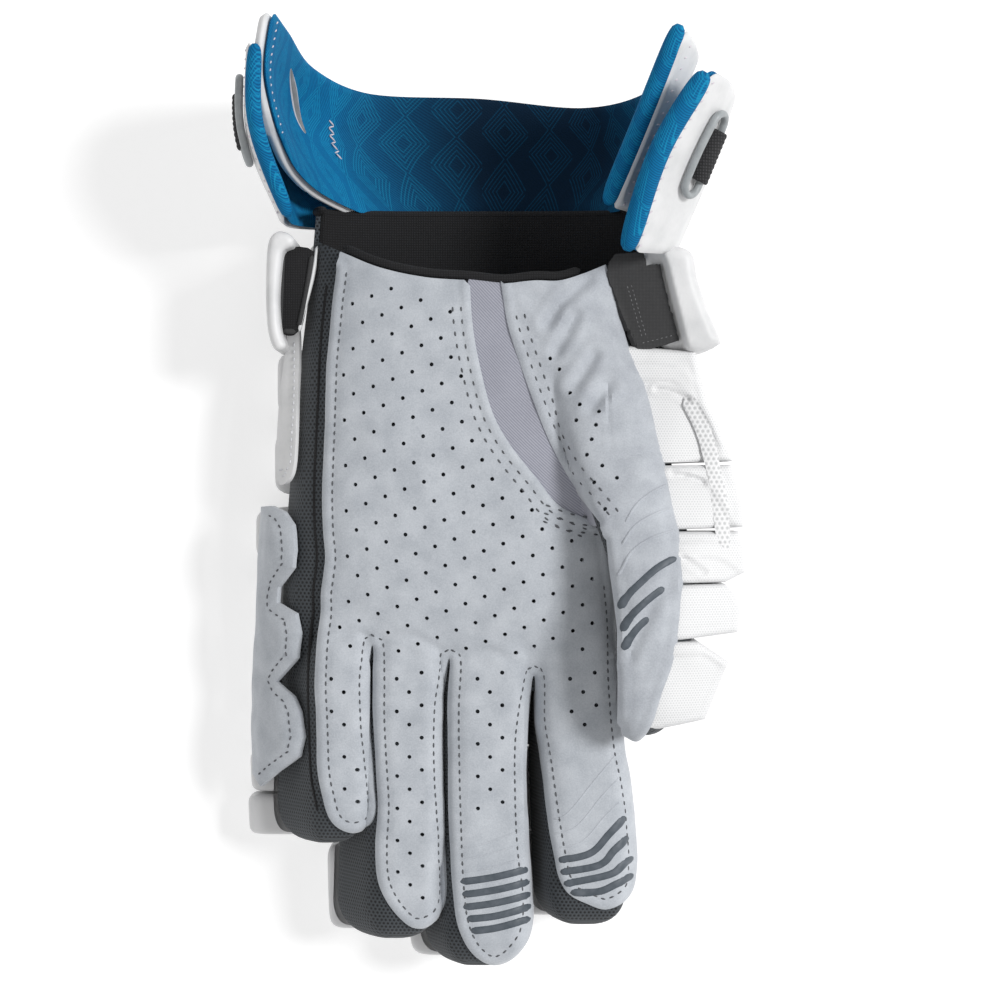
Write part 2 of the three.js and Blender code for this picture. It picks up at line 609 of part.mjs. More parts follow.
// Lining on the hollow side of a surface and foam on its other side
function linedSheet(surface, foam, steps) {
  const whole = [0, 1];
  return {
    lining: sheetOn(surface, whole, whole, [0, LINING], steps),
    foam: sheetOn(surface, whole, whole, [-foam, -LAYER_GAP], steps),
    clear: sheetOn(surface, whole, whole, [-foam - LAYER_GAP - CLEARANCE, LINING + LAYER_GAP], steps),
  };
}

function buildCuff() {
  const cuff = linedSheet(ribSurface(CUFF_RIBS), SHELL, [16, 4]);
  const handClear = handForm(CLEARANCE).add(dressedClear);
  const pads = parts.filter((mesh) => /roll|pad/.test(mesh.name)).map((mesh) => toSolid(mesh.geometry));
  const trim = (solid) => {
    const above = solid.intersect(floorBlock).subtract(handClear);
    return pads.reduce((rest, pad) => rest.subtract(pad), above);
  };
  addPart('cuff_lining', trim(cuff.lining), COLORS.blue, 0.9);
  addPart('cuff_shell', trim(cuff.foam), COLORS.white, 0.6);
  const flaps = [['left', LEFT_FLAP_RIBS, 1 - FASTENER_UP, 1], ['right', RIGHT_FLAP_RIBS, FASTENER_UP, -1]];
  for (const [side, ribs, fastener, outward] of flaps) {
    const surface = ribSurface(ribs);
    const flap = linedSheet(surface, FLAP_FOAM, [8, 4]);
    addPart(`${side}_flap_lining`, trim(flap.lining.subtract(cuff.clear)), COLORS.blue, 0.9);
    addPart(`${side}_flap`, trim(flap.foam.subtract(cuff.clear)), COLORS.white, 0.6);
    const outer = FLAP_FOAM + LAYER_GAP;
    const loop = ringOn(surface, fastener, 0.6, outer, 0);
    const strip = [-outer - LOOP_DEPTH - WEBBING, -outer];
    const low = fastener + outward * WEBBING_OFFSET;
    const reach = [low - WEBBING_SPREAD, low + WEBBING_SPREAD];
    const webbing = sheetOn(surface, reach, [0.45, 0.78], strip, [2, 4])
      .subtract(ringOn(surface, fastener, 0.6, outer, CLEARANCE));
    addPart(`${side}_loop`, loop, COLORS.plastic, 0.5);
    addPart(`${side}_webbing`, webbing.subtract(flap.clear), COLORS.black, 0.9);
  }
}

buildHandBody();
buildSocks();
buildLeather();
buildFingerPads();
buildBackPads();
buildThumbGuard();
buildCuff();

// Origin under the middle of the glove, on the floor
const glove = new THREE.Group();
glove.name = 'lacrosse_glove';
glove.add(...parts);
const bounds = new THREE.Box3().setFromObject(glove);
const middle = bounds.getCenter(new THREE.Vector3());
glove.position.set(-middle.x, -middle.y, -bounds.min.z);
glove.updateMatrixWorld(true);

export default glove;
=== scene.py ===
import math

import bmesh
import bpy
import numpy as np
from mathutils import Matrix, Vector, noise
from mathutils.bvhtree import BVHTree


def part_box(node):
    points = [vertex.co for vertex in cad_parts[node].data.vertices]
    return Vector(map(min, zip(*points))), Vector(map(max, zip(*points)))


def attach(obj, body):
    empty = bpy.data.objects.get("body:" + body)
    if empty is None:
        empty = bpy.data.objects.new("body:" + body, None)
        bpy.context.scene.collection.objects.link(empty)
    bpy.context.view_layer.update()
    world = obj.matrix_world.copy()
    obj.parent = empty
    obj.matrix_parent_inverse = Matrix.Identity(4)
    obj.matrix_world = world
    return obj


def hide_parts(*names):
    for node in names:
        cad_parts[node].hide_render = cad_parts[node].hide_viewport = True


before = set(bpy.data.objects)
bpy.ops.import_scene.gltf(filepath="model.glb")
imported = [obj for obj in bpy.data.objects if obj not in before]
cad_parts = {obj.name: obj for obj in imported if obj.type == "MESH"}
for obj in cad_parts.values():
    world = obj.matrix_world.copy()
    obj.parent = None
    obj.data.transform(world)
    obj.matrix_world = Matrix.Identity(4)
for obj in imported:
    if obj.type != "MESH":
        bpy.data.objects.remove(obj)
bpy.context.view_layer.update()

MM = 0.001

# Driving sizes and the places that follow from the frame
PALM_WIDTH = 100 * MM
HAND_LENGTH = 240 * MM
HAND_DEPTH = 40 * MM
FINGER_DEPTH = 36 * MM
MESH_WALL = 1.8 * MM
LEATHER = 1.3 * MM
SEAT = 0.3 * MM
WRIST_MOUTH = 0.13
hand_low, hand_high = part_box("hand_mesh")
pad_low, pad_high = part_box("back_pad_3")
PAD_DEPTH = hand_low.z
WRIST_Y = hand_high.y - WRIST_MOUTH * HAND_LENGTH
MIDDLE_X = (pad_low.x + pad_high.x) / 2 + 0.165 * PALM_WIDTH
SKY = 0.2
PICTURE_WIDTH = 356.4 * MM
SUBJECT_HEIGHT = 50 * MM
CAMERA_ALONG = 1.08 * MM
LENS = 110
SENSOR = 36


def build_camera():
    camera = bpy.data.cameras.new("camera")
    camera.lens = LENS
    camera.sensor_width = SENSOR
    eye = bpy.data.objects.new("camera", camera)
    distance = PICTURE_WIDTH * LENS / SENSOR
    eye.location = (MIDDLE_X, CAMERA_ALONG, SUBJECT_HEIGHT + distance)
    bpy.context.collection.objects.link(eye)
    bpy.context.scene.camera = eye
    bpy.context.scene.view_settings.view_transform = "Standard"


build_camera()


def across(share):
    return MIDDLE_X + share * PALM_WIDTH


def along(share):
    return WRIST_Y - share * HAND_LENGTH


def deep(share):
    return PAD_DEPTH + share * HAND_DEPTH


def place(points):
    """Points across and along as places in metres."""
    return np.array([(across(a), along(b)) for a, b in points])


PLAN_STEP = 0.36 * MM
PLAN_MIDDLE = (494.5, 498)


def plan(points):
    """Places from a plan drawn at 0.36 mm a step, x towards the thumb and y towards the finger tips."""
    return np.array([(MIDDLE_X + (x - PLAN_MIDDLE[0]) * PLAN_STEP, (PLAN_MIDDLE[1] - y) * PLAN_STEP)
                     for x, y in points])


# Sections of hand and thumb: along, palm left, palm right, back left, back right, palm face, back face
HAND_SECTIONS = [
    (-0.13, -0.62, 0.44, -0.68, 0.56, 1.00, 0.0),
    (-0.03, -0.61, 0.47, -0.72, 0.62, 1.03, 0.0),
    (0.10, -0.62, 0.51, -0.77, 0.66, 1.08, 0.0),
    (0.27, -0.65, 0.51, -0.81, 0.64, 1.10, 0.0),
    (0.43, -0.67, 0.45, -0.84, 0.52, 1.03, 0.0),
    (0.52, -0.67, 0.44, -0.85, 0.46, 0.92, 0.0),
    (0.60, -0.66, 0.43, -0.84, 0.42, 0.70, 0.0),
]
THUMB_SECTIONS = [
    (-0.02, 0.16, 0.44, 0.20, 0.54, 0.88, 0.20),
    (0.08, 0.18, 0.49, 0.24, 0.58, 1.06, 0.22),
    (0.17, 0.20, 0.54, 0.28, 0.62, 1.22, 0.30),
    (0.30, 0.29, 0.60, 0.38, 0.69, 1.42, 0.60),
    (0.43, 0.39, 0.66, 0.47, 0.74, 1.55, 0.85),
    (0.54, 0.40, 0.64, 0.49, 0.72, 1.55, 0.90),
    (0.66, 0.42, 0.58, 0.48, 0.66, 1.45, 0.95),
]
FINGER_ROOT = 95 * MM
FINGER_RISEN = 130 * MM
ROOT_DROP = 8 * MM
ROOT_NARROW = 4 * MM
FINGERS = {
    "little": dict(reach=200 * MM, root=(-0.64, -0.45), tip=(-0.64, -0.44), lean=(-0.15, -0.20), face=(1.05, 0.92)),
    "ring": dict(reach=235 * MM, root=(-0.43, -0.19), tip=(-0.43, -0.18), lean=(-0.11, -0.19), face=(1.05, 0.86)),
    "middle": dict(reach=245 * MM, root=(-0.16, 0.12), tip=(-0.16, 0.13), lean=(-0.08, -0.13), face=(1.05, 0.84)),
    "index": dict(reach=230 * MM, root=(0.16, 0.43), tip=(0.21, 0.50), lean=(-0.04, -0.09), face=(1.05, 0.84)),
}
SQUARENESS = 3.0
FINGER_SQUARENESS = 4.4
TIP_ROUND = 15 * MM


def clamp(value, low=0, high=1):
    return min(max(value, low), high)


def ease(share):
    return share * share * (3 - 2 * share)


def section_rows(table):
    return np.array([(along(share), *(across(edge) for edge in edges), deep(top), deep(bottom))
                     for share, *edges, top, bottom in table])


def finger_row(finger, reach):
    """Section of a finger at a reach from the wrist."""
    share = clamp((reach - FINGER_ROOT) / (finger["reach"] - FINGER_ROOT))
    left, right = (across(root + (tip - root) * share) for root, tip in zip(finger["root"], finger["tip"]))
    lean, face = (start + (end - start) * share for start, end in (finger["lean"], finger["face"]))
    lean *= PALM_WIDTH
    return WRIST_Y - reach, left, right, left + lean, right + lean, PAD_DEPTH + face * FINGER_DEPTH, PAD_DEPTH


def finger_rows(finger):
    """Sections of a finger, which starts under the palm."""
    y, left, right, back_left, back_right, top, bottom = finger_row(finger, FINGER_ROOT)
    start = (y, left + ROOT_NARROW, right - ROOT_NARROW, back_left + ROOT_NARROW, back_right - ROOT_NARROW,
             top - ROOT_DROP, bottom)
    return np.array([start, finger_row(finger, FINGER_RISEN), finger_row(finger, finger["reach"])])


def smooth_rows(rows, places):
    """Rows at other places along Y, on cubic curves through the given rows."""
    y = rows[:, 0]
    slopes = np.gradient(rows, y, axis=0) if len(rows) > 2 else np.tile((rows[1] - rows[0]) / (y[1] - y[0]), (2, 1))
    out = []
    for place_y in places:
        k = int(np.clip(np.searchsorted(-y, -place_y) - 1, 0, len(y) - 2))
        span = y[k + 1] - y[k]
        t = clamp((place_y - y[k]) / span)
        a, b = 2 * t**3 - 3 * t**2 + 1, t**3 - 2 * t**2 + t
        c, d = -2 * t**3 + 3 * t**2, t**3 - t**2
        out.append(a * rows[k] + b * span * slopes[k] + c * rows[k + 1] + d * span * slopes[k + 1])
    return np.array(out)


# Mesh helpers
def new_object(name, mesh_data, material=None):
    obj = bpy.data.objects.new(name, mesh_data)
    bpy.context.collection.objects.link(obj)
    if material:
        obj.data.materials.append(material)
    return obj


def thicken(bm, offset=(0, 0, 0), faces=None):
    """Makes a slab of faces; the new vertices are moved off and returned."""
    grown = bmesh.ops.extrude_face_region(bm, geom=faces or bm.faces[:])
    verts = [item for item in grown["geom"] if isinstance(item, bmesh.types.BMVert)]
    bmesh.ops.translate(bm, verts=verts, vec=offset)
    return verts


def from_bmesh(name, bm, material=None, smooth=True):
    mesh = bpy.data.meshes.new(name)
    if bm.calc_volume(signed=True) < 0:
        bmesh.ops.reverse_faces(bm, faces=bm.faces)
    for face in bm.faces:
        face.smooth = smooth
    bm.to_mesh(mesh)
    bm.free()
    return new_object(name, mesh, material)


def apply_modifiers(obj):
    graph = bpy.context.evaluated_depsgraph_get()
    mesh = bpy.data.meshes.new_from_object(obj.evaluated_get(graph))
    obj.modifiers.clear()
    old = obj.data
    obj.data = mesh
    bpy.data.meshes.remove(old)
    return obj


def drop(obj):
    mesh = obj.data
    bpy.data.objects.remove(obj)
    bpy.data.meshes.remove(mesh)


def combine(target, other, operation, keep=False):
    modifier = target.modifiers.new(operation, "BOOLEAN")
    modifier.operation = operation
    modifier.solver = "MANIFOLD"
    modifier.object = other
    apply_modifiers(target)
    if not keep:
        drop(other)
    return target


def finish_piece(obj, name, material, nodes=(), sharp=35):
    obj.name = name
    obj.data.name = name
    obj.data.materials.clear()
    obj.data.materials.append(material)
    obj.data.polygons.foreach_set("use_smooth", [True] * len(obj.data.polygons))
    obj.data.set_sharp_from_angle(angle=math.radians(sharp))
    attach(obj, "root")
    if nodes:
        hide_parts(*nodes)
    return obj


def rounded_square(angle, square):
    """Point at an angle on a square with rounded corners, a unit from its middle to its sides."""
    return [math.copysign(abs(part) ** (2 / square), part) for part in (math.cos(angle), math.sin(angle))]


def ring_of(vert, rings):
    """Number of the ring of a unit sphere that a vertex lies on."""
    return round(math.acos(clamp(vert.co.z, -1)) / math.pi * rings)


TIP_RINGS = 12


def sweep(name, rows, grow=0.0, end_round=0.0, sides=56, rings=70, reach_out=None, square=SQUARENESS):
    """Solid along Y through smooth sections, on the rings of a sphere."""
    bm = bmesh.new()
    bmesh.ops.create_uvsphere(bm, u_segments=sides, v_segments=rings, radius=1)
    start = rows[0][0] + (grow if reach_out is None else reach_out)
    end = rows[-1][0] - grow
    first_tip_ring = rings - 1 - (TIP_RINGS if end_round else 0)
    places, narrows = [], []
    for ring in range(rings + 1):
        step = clamp(ring - 1, 0, rings - 2)
        if step <= first_tip_ring - 1 or not end_round:
            places.append(start + (end + end_round - start) * step / (first_tip_ring - 1))
            narrows.append(1.0)
        else:
            turn = (step - first_tip_ring + 1) / (rings - 1 - first_tip_ring) * math.pi / 2
            places.append(end + end_round * (1 - math.sin(turn) ** 0.9))
            narrows.append(max(math.cos(turn), 0.02) ** 0.75)
    narrows[0] = narrows[rings] = 0.0
    sections = smooth_rows(rows, places)
    for vert in bm.verts:
        ring = ring_of(vert, rings)
        _, palm_left, palm_right, back_left, back_right, top, bottom = sections[ring]
        unit_x, unit_z = (part * narrows[ring] for part in rounded_square(math.atan2(vert.co.y, vert.co.x), square))
        top, bottom = top + grow, bottom - grow
        z = (top + bottom) / 2 + unit_z * (top - bottom) / 2
        height = (z - bottom) / (top - bottom)
        left = back_left + (palm_left - back_left) * height - grow
        right = back_right + (palm_right - back_right) * height + grow
        vert.co = ((left + right) / 2 + unit_x * (right - left) / 2, places[ring], z)
    bmesh.ops.recalc_face_normals(bm, faces=bm.faces)
    return from_bmesh(name, bm)


hand_rows = section_rows(HAND_SECTIONS)
thumb_rows = section_rows(THUMB_SECTIONS)
# A hollow's cutter reaches out of the wrist mouth by this.
MOUTH_CUT = 12 * MM


def hand_form(grow):
    return sweep("hand_form", hand_rows, grow, sides=96, rings=90, reach_out=MOUTH_CUT if grow < 0 else 0)


def thumb_form(grow):
    return sweep("thumb_form", thumb_rows, grow, TIP_ROUND)


def finger_form(name, grow):
    return sweep(f"{name}_form", finger_rows(FINGERS[name]), grow, TIP_ROUND, square=FINGER_SQUARENESS)


# Height of the dressed hand over a place, from rays down on its forms
def tree_of(obj):
    tree = BVHTree.FromObject(obj, bpy.context.evaluated_depsgraph_get())
    drop(obj)
    return tree


hand_tree = tree_of(hand_form(0))
thumb_tree = tree_of(thumb_form(0))
finger_trees = {name: tree_of(finger_form(name, 0)) for name in FINGERS}
BLEND = 5 * MM
MAP_CELL = 0.75 * MM
MAP_LOW = (across(-0.95), along(1.08))
MAP_HIGH = (across(0.85), along(-0.16))
MAP_FALL = 2.2
MAP_REACH = 14
MAP_SMOOTHING = 3


def smooth_max(a, b):
    near = max(BLEND - abs(a - b), 0) / BLEND
    return max(a, b) + near * near * BLEND / 4


def top_over(trees, x, y):
    """Height of the upper one of several forms, blended, or none beside them."""
    height = None
    for tree in trees:
        hit = tree.ray_cast(Vector((x, y, SKY)), Vector((0, 0, -1)))[0]
        if hit:
            height = hit.z if height is None else smooth_max(height, hit.z)
    return math.nan if height is None else height


def height_map(trees):
    """Height of forms over the plane as a function, smoothed, and falling away beside them."""
    low = np.array(MAP_LOW)
    counts = [int((MAP_HIGH[i] - low[i]) / MAP_CELL) + 1 for i in (0, 1)]
    z = np.array([[top_over(trees, low[0] + i * MAP_CELL, low[1] + j * MAP_CELL) for j in range(counts[1])]
                  for i in range(counts[0])])
    for _ in range(MAP_REACH):
        padded = np.pad(np.where(np.isnan(z), -1, z), 1, constant_values=-1)
        near = np.maximum.reduce([padded[:-2, 1:-1], padded[2:, 1:-1], padded[1:-1, :-2], padded[1:-1, 2:]])
        z = np.where(np.isnan(z) & (near > 0), near - MAP_FALL * MAP_CELL, z)
    z = np.where(np.isnan(z), PAD_DEPTH, np.maximum(z, PAD_DEPTH / 2))
    for _ in range(MAP_SMOOTHING):
        z = np.pad(z, 1, mode="edge")
        z = (z[:-2, 1:-1] + z[2:, 1:-1] + 2 * z[1:-1, 1:-1]) / 4
        z = np.pad(z, ((0, 0), (1, 1)), mode="edge")
        z = (z[:, :-2] + z[:, 2:] + 2 * z[:, 1:-1]) / 4

    def at(points):
        spot = np.clip((np.asarray(points, float) - low) / MAP_CELL, 0, np.array(counts) - 1.001)
        i, j = spot[:, 0].astype(int), spot[:, 1].astype(int)
        s, t = spot[:, 0] - i, spot[:, 1] - j
        return ((z[i, j] * (1 - s) + z[i + 1, j] * s) * (1 - t) + (z[i, j + 1] * (1 - s) + z[i + 1, j + 1] * s) * t)
    return at


class Height:
    """A surface over the plane, with its normals and places laid on it."""

    STEEPEST = 2.5

    def __init__(self, at):
        self.at = at

    def lay(self, points, off=0.0):
        points = np.asarray(points, float)
        step = MAP_CELL
        slopes = [(self.at(points + move) - self.at(points - move)) / (2 * step) for move in np.eye(2) * step]
        steep = np.maximum(np.hypot(*slopes), 1e-9)
        limit = np.minimum(1.0, self.STEEPEST / steep)
        normals = np.stack([-slopes[0] * limit, -slopes[1] * limit, np.ones(len(points))], axis=1)
        normals /= np.linalg.norm(normals, axis=1, keepdims=True)
        off = np.broadcast_to(np.asarray(off, float), (len(points),))
        return np.column_stack([points, self.at(points)]) + normals * off[:, None], normals


# From here to there along the glove the thumb's side comes free of the palm.
FREE_THUMB = plan([(600, 524), (600, 550)])[:, 1]
thumb_on_hand = height_map([hand_tree, thumb_tree])
thumb_alone = height_map([thumb_tree])


def thumb_height(points):
    points = np.asarray(points, float)
    free = np.clip((FREE_THUMB[0] - points[:, 1]) / (FREE_THUMB[0] - FREE_THUMB[1]), 0, 1)
    return thumb_on_hand(points) * (1 - free) + thumb_alone(points) * free


palm = Height(height_map([hand_tree, *finger_trees.values()]))
thumb = Height(thumb_height)


# Outlines
def curve_through(points, count_per_span=8, closed=False):
    """Points on a Catmull-Rom curve through the given ones."""
    points = np.asarray(points, float)
    n = len(points)
    out = []
    spans = n if closed else n - 1
    for k in range(spans):
        p1, p2 = points[k % n], points[(k + 1) % n]
        p0 = points[(k - 1) % n] if closed or k > 0 else 2 * p1 - p2
        p3 = points[(k + 2) % n] if closed or k + 2 < n else 2 * p2 - p1
        for step in range(count_per_span):
            t = step / count_per_span
            out.append(0.5 * (2 * p1 + (p2 - p0) * t + (2 * p0 - 5 * p1 + 4 * p2 - p3) * t**2
                              + (3 * p1 - p0 - 3 * p2 + p3) * t**3))
    if not closed:
        out.append(points[-1])
    return np.array(out)


def signed_area(points):
    x, y = points[:, 0], points[:, 1]
    return 0.5 * np.sum(x * np.roll(y, -1) - np.roll(x, -1) * y)


def inset(points, distance):
    """Closed outline moved inwards."""
    turn = 1 if signed_area(points) > 0 else -1
    tangent = np.roll(points, -1, axis=0) - np.roll(points, 1, axis=0)
    length = np.linalg.norm(tangent, axis=1, keepdims=True)
    normal = np.stack([-tangent[:, 1], tangent[:, 0]], axis=1) / np.maximum(length, 1e-9)
    return points + turn * normal * distance


def prism(name, points, low, high):
    """Block over an outline."""
    bm = bmesh.new()
    face = bm.faces.new([bm.verts.new((x, y, low)) for x, y in points])
    if face.normal.z < 0 or signed_area(np.asarray(points)) < 0:
        face.normal_flip()
    thicken(bm, (0, 0, high - low), [face])
    bmesh.ops.recalc_face_normals(bm, faces=bm.faces)
    return from_bmesh(name, bm, smooth=False)


def distance_to_path(points, path, closed=True):
    """Distance of each point to a path, in the plane."""
    points = np.asarray(points)
    start = path if closed else path[:-1]
    end = np.roll(path, -1, axis=0) if closed else path[1:]
    span = end - start
    length2 = np.maximum(np.sum(span**2, axis=1), 1e-15)
    best = np.full(len(points), 1e9)
    for k in range(len(start)):
        t = np.clip(((points - start[k]) @ span[k]) / length2[k], 0, 1)
        gap = points - (start[k] + t[:, None] * span[k])
        best = np.minimum(best, np.sqrt(np.sum(gap**2, axis=1)))
    return best


def inside(points, path):
    """Which points lie inside a closed path."""
    points = np.asarray(points)
    x, y = points[:, 0], points[:, 1]
    found = np.zeros(len(points), bool)
    for (x1, y1), (x2, y2) in zip(path, np.roll(path, -1, axis=0)):
        if y1 == y2:
            continue
        found ^= ((y1 > y) != (y2 > y)) & (x < (x2 - x1) * (y - y1) / (y2 - y1) + x1)
    return found


def grid_slab(name, outline, cell):
    """Flat slab of small cells, 1 mm thick, cut to an outline."""
    low, high = outline.min(axis=0) - cell, outline.max(axis=0) + cell
    size = high - low
    bm = bmesh.new()
    counts = [int(side / cell) + 1 for side in size]
    bmesh.ops.create_grid(bm, x_segments=counts[0], y_segments=counts[1], size=0.5)
    for vert in bm.verts:
        vert.co = (low[0] + (vert.co.x + 0.5) * size[0], low[1] + (vert.co.y + 0.5) * size[1], 0)
    thicken(bm, (0, 0, 1 * MM))
    bmesh.ops.recalc_face_normals(bm, faces=bm.faces)
    return combine(from_bmesh(name, bm), prism("outline", outline, -1 * MM, 2 * MM), "INTERSECT")


def reshape(obj, change):
    """Moves a mesh by a function from all its places to the new ones."""
    places = np.empty(len(obj.data.vertices) * 3)
    obj.data.vertices.foreach_get("co", places)
    obj.data.vertices.foreach_set("co", change(places.reshape(-1, 3)).ravel())
    obj.data.update()
    return obj


def sheet_panel(name, outline, height, relief, thickness=LEATHER, off=SEAT, cell=1.1 * MM, holes=()):
    """Leather laid on a height, cut to an outline, with holes; relief gives the rise of its face in the plane."""
    slab = grid_slab(name, outline, cell)
    if len(holes):
        combine(slab, hole_cutter(holes), "DIFFERENCE")

    def lay(flat):
        return height.lay(flat[:, :2], off + relief(flat[:, :2]) + np.where(flat[:, 2] > 0.5 * MM, thickness, 0))[0]
    return reshape(slab, lay)


PERFORATION = 1.5 * MM
CUTTER_LENGTH = 6 * MM


def hole_cutter(centres):
    bm = bmesh.new()
    for x, y in centres:
        bmesh.ops.create_cone(bm, cap_ends=True, segments=10, radius1=PERFORATION / 2, radius2=PERFORATION / 2,
                              depth=CUTTER_LENGTH, matrix=Matrix.Translation((x, y, 0)))
    return from_bmesh("holes", bm, smooth=False)


# Stitches and raised lines that follow a surface
def walk(path, pitch, closed=False):
    """Places at a pitch along a path, with the direction of the path there."""
    path = np.asarray(path, float)
    if closed:
        path = np.vstack([path, path[:1]])
    steps = np.linalg.norm(np.diff(path, axis=0), axis=1)
    far = np.concatenate([[0], np.cumsum(steps)])
    count = max(int(far[-1] / pitch), 1)
    out = []
    for k in range(count):
        s = (k + 0.5) * far[-1] / count
        i = min(int(np.searchsorted(far, s)) - 1, len(steps) - 1)
        t = (s - far[i]) / max(steps[i], 1e-12)
        out.append((path[i] + t * (path[i + 1] - path[i]), (path[i + 1] - path[i]) / max(steps[i], 1e-12)))
    return out


STITCH_PITCH = 3.0 * MM
STITCH_LENGTH = 2.0 * MM
STITCH_THICK = 0.75 * MM


def add_stitch(bm, centre, direction, normal, length=STITCH_LENGTH, thick=STITCH_THICK):
    side = normal.cross(direction).normalized()
    direction = side.cross(normal).normalized()
    turn = Matrix((direction, side, normal)).transposed().to_4x4()
    size = Matrix.Diagonal((length / 2, thick / 2, thick / 2, 1))
    bmesh.ops.create_uvsphere(bm, u_segments=6, v_segments=5, radius=1,
                              matrix=Matrix.Translation(centre) @ turn @ size)


def no_relief(points):
    return np.zeros(len(points))


def stitch_rows(name, paths, height, material, pitch=STITCH_PITCH, off=LEATHER + SEAT,
                length=STITCH_LENGTH, thick=STITCH_THICK, relief=no_relief):
    bm = bmesh.new()
    for path in paths:
        places, ways = (np.array(part) for part in zip(*walk(path, pitch)))
        centres, normals = height.lay(places, off + relief(places))
        ahead, _ = height.lay(places + ways * MM, off + relief(places))
        for centre, front, normal in zip(centres, ahead, normals):
            add_stitch(bm, Vector(centre), Vector(front - centre).normalized(), Vector(normal), length, thick)
    return finish_piece(from_bmesh(name, bm), name, material, sharp=80)


RIBBON_LIFT = 0.25 * MM
RIBBON_CELL = 1 * MM


def ribbon(bm, path, width, rise, height, off=LEATHER + SEAT, strips=6, relief=no_relief):
    """Raised closed line with rounded ends along a path in the plane, laid on a surface."""
    places, ways = (np.array(part) for part in zip(*walk(curve_through(path, 6), RIBBON_CELL)))
    last = len(places) - 1
    made = bmesh.ops.create_grid(bm, x_segments=last, y_segments=strips, size=0.5)
    verts = made["verts"]
    spots = np.array([[round((vert.co.x + 0.5) * last), vert.co.y * 2] for vert in verts])
    k = spots[:, 0].astype(int)
    share = spots[:, 1]
    from_end = np.minimum(k, last - k) * RIBBON_CELL
    taper = np.sqrt(np.clip(from_end / (width / 2), 0.02, 1))
    reach = share * width / 2 * taper
    points = places[k] + np.stack([-ways[k, 1], ways[k, 0]], axis=1) * reach[:, None]
    dome = (1 - np.abs(share) ** 4) * taper
    laid, normals = height.lay(points, off + relief(points))
    laid += normals * (rise * dome - RIBBON_LIFT)[:, None]
    for vert, spot in zip(verts, laid):
        vert.co = spot
    thicken(bm, (0, 0, -RIBBON_LIFT), list({face for vert in verts for face in vert.link_faces}))


def ribbons(name, paths, width, rise, height, material, slot, **options):
    bm = bmesh.new()
    for path in paths:
        ribbon(bm, path, width, rise, height, **options)
    bmesh.ops.recalc_face_normals(bm, faces=bm.faces)
    return finish_piece(from_bmesh(name, bm), name, material, sharp=60)


# Materials
class Value:
    """An output of a node that can be reckoned with."""

    def __init__(self, tree, socket):
        self.tree, self.socket = tree, socket

    def run(self, operation, *others):
        return add_node(self.tree, "Math", 0, dict(enumerate((self, *others))), operation=operation)

    def __add__(self, other):
        return self.run("ADD", other)

    def __sub__(self, other):
        return self.run("SUBTRACT", other)

    def __mul__(self, other):
        return self.run("MULTIPLY", other)

    def __truediv__(self, other):
        return self.run("DIVIDE", other)

    def __gt__(self, other):
        return self.run("GREATER_THAN", other)

    def __lt__(self, other):
        return self.run("LESS_THAN", other)

    def __abs__(self):
        return self.run("ABSOLUTE")

    def fract(self):
        return self.run("FRACT")

    def parts(self):
        node = self.tree.nodes.new("ShaderNodeSeparateXYZ")
        self.tree.links.new(self.socket, node.inputs[0])
        return [Value(self.tree, socket) for socket in node.outputs]


def fill_inputs(tree, node, inputs):
    for label, value in inputs.items():
        if isinstance(value, Value):
            tree.links.new(value.socket, node.inputs[label])
        else:
            node.inputs[label].default_value = value


def add_node(tree, kind, output, inputs, **settings):
    """One output of a new node, with its settings and inputs filled in."""
    node = tree.nodes.new(f"ShaderNode{kind}")
    for name, value in settings.items():
        setattr(node, name, value)
    fill_inputs(tree, node, inputs)
    return Value(tree, node.outputs[output])


def texture(place_value, kind, inputs, output="Fac", **settings):
    return add_node(place_value.tree, f"Tex{kind}", output, {"Vector": place_value, **inputs}, **settings)


def use_group(group, output, inputs):
    tree = next(iter(inputs.values())).tree
    return add_node(tree, "Group", output, inputs, node_tree=group)


def ramp(value, *stops):
    """Colour along a value, from stops of a place and a colour."""
    node = value.tree.nodes.new("ShaderNodeValToRGB")
    value.tree.links.new(value.socket, node.inputs[0])
    elements = node.color_ramp.elements
    while len(elements) < len(stops):
        elements.new(0.5)
    for element, (position, color) in zip(elements, stops):
        element.position = position
        element.color = (*color, 1)
    return Value(value.tree, node.outputs[0])


def mix_colors(share, first, second):
    return add_node(share.tree, "Mix", 2, {"Factor": share, 6: first, 7: second}, data_type="RGBA")


def bump(height, strength, distance, **before):
    return add_node(height.tree, "Bump", "Normal",
                    {"Strength": strength, "Distance": distance, "Height": height, **before})


def coordinates(tree, output="Object"):
    return add_node(tree, "TexCoord", output, {})


def wall_coordinates(tree):
    """Object coordinates laid flat on the faces that look up or down, and upright on the walls."""
    place_value = coordinates(tree)
    _, y, z = place_value.parts()
    facing = add_node(tree, "NewGeometry", "Normal", {}).parts()[2]
    upright = add_node(tree, "CombineXYZ", 0, {"X": z, "Y": y})
    return add_node(tree, "Mix", 1, {"Factor": abs(facing) > 0.6, 4: upright, 5: place_value}, data_type="VECTOR")


def new_group(name, inputs, outputs):
    """Node group with a vector input, one number input and number outputs: tree, its values and its end."""
    tree = bpy.data.node_groups.new(name, "ShaderNodeTree")
    tree.interface.new_socket("Vector", in_out="INPUT", socket_type="NodeSocketVector")
    label, default = inputs
    tree.interface.new_socket(label, in_out="INPUT", socket_type="NodeSocketFloat").default_value = default
    for output in outputs:
        tree.interface.new_socket(output, in_out="OUTPUT", socket_type="NodeSocketFloat")
    source = tree.nodes.new("NodeGroupInput")
    values = [Value(tree, source.outputs[i]) for i in (0, 1)]
    return tree, values, tree.nodes.new("NodeGroupOutput")


ROOT3 = math.sqrt(3)


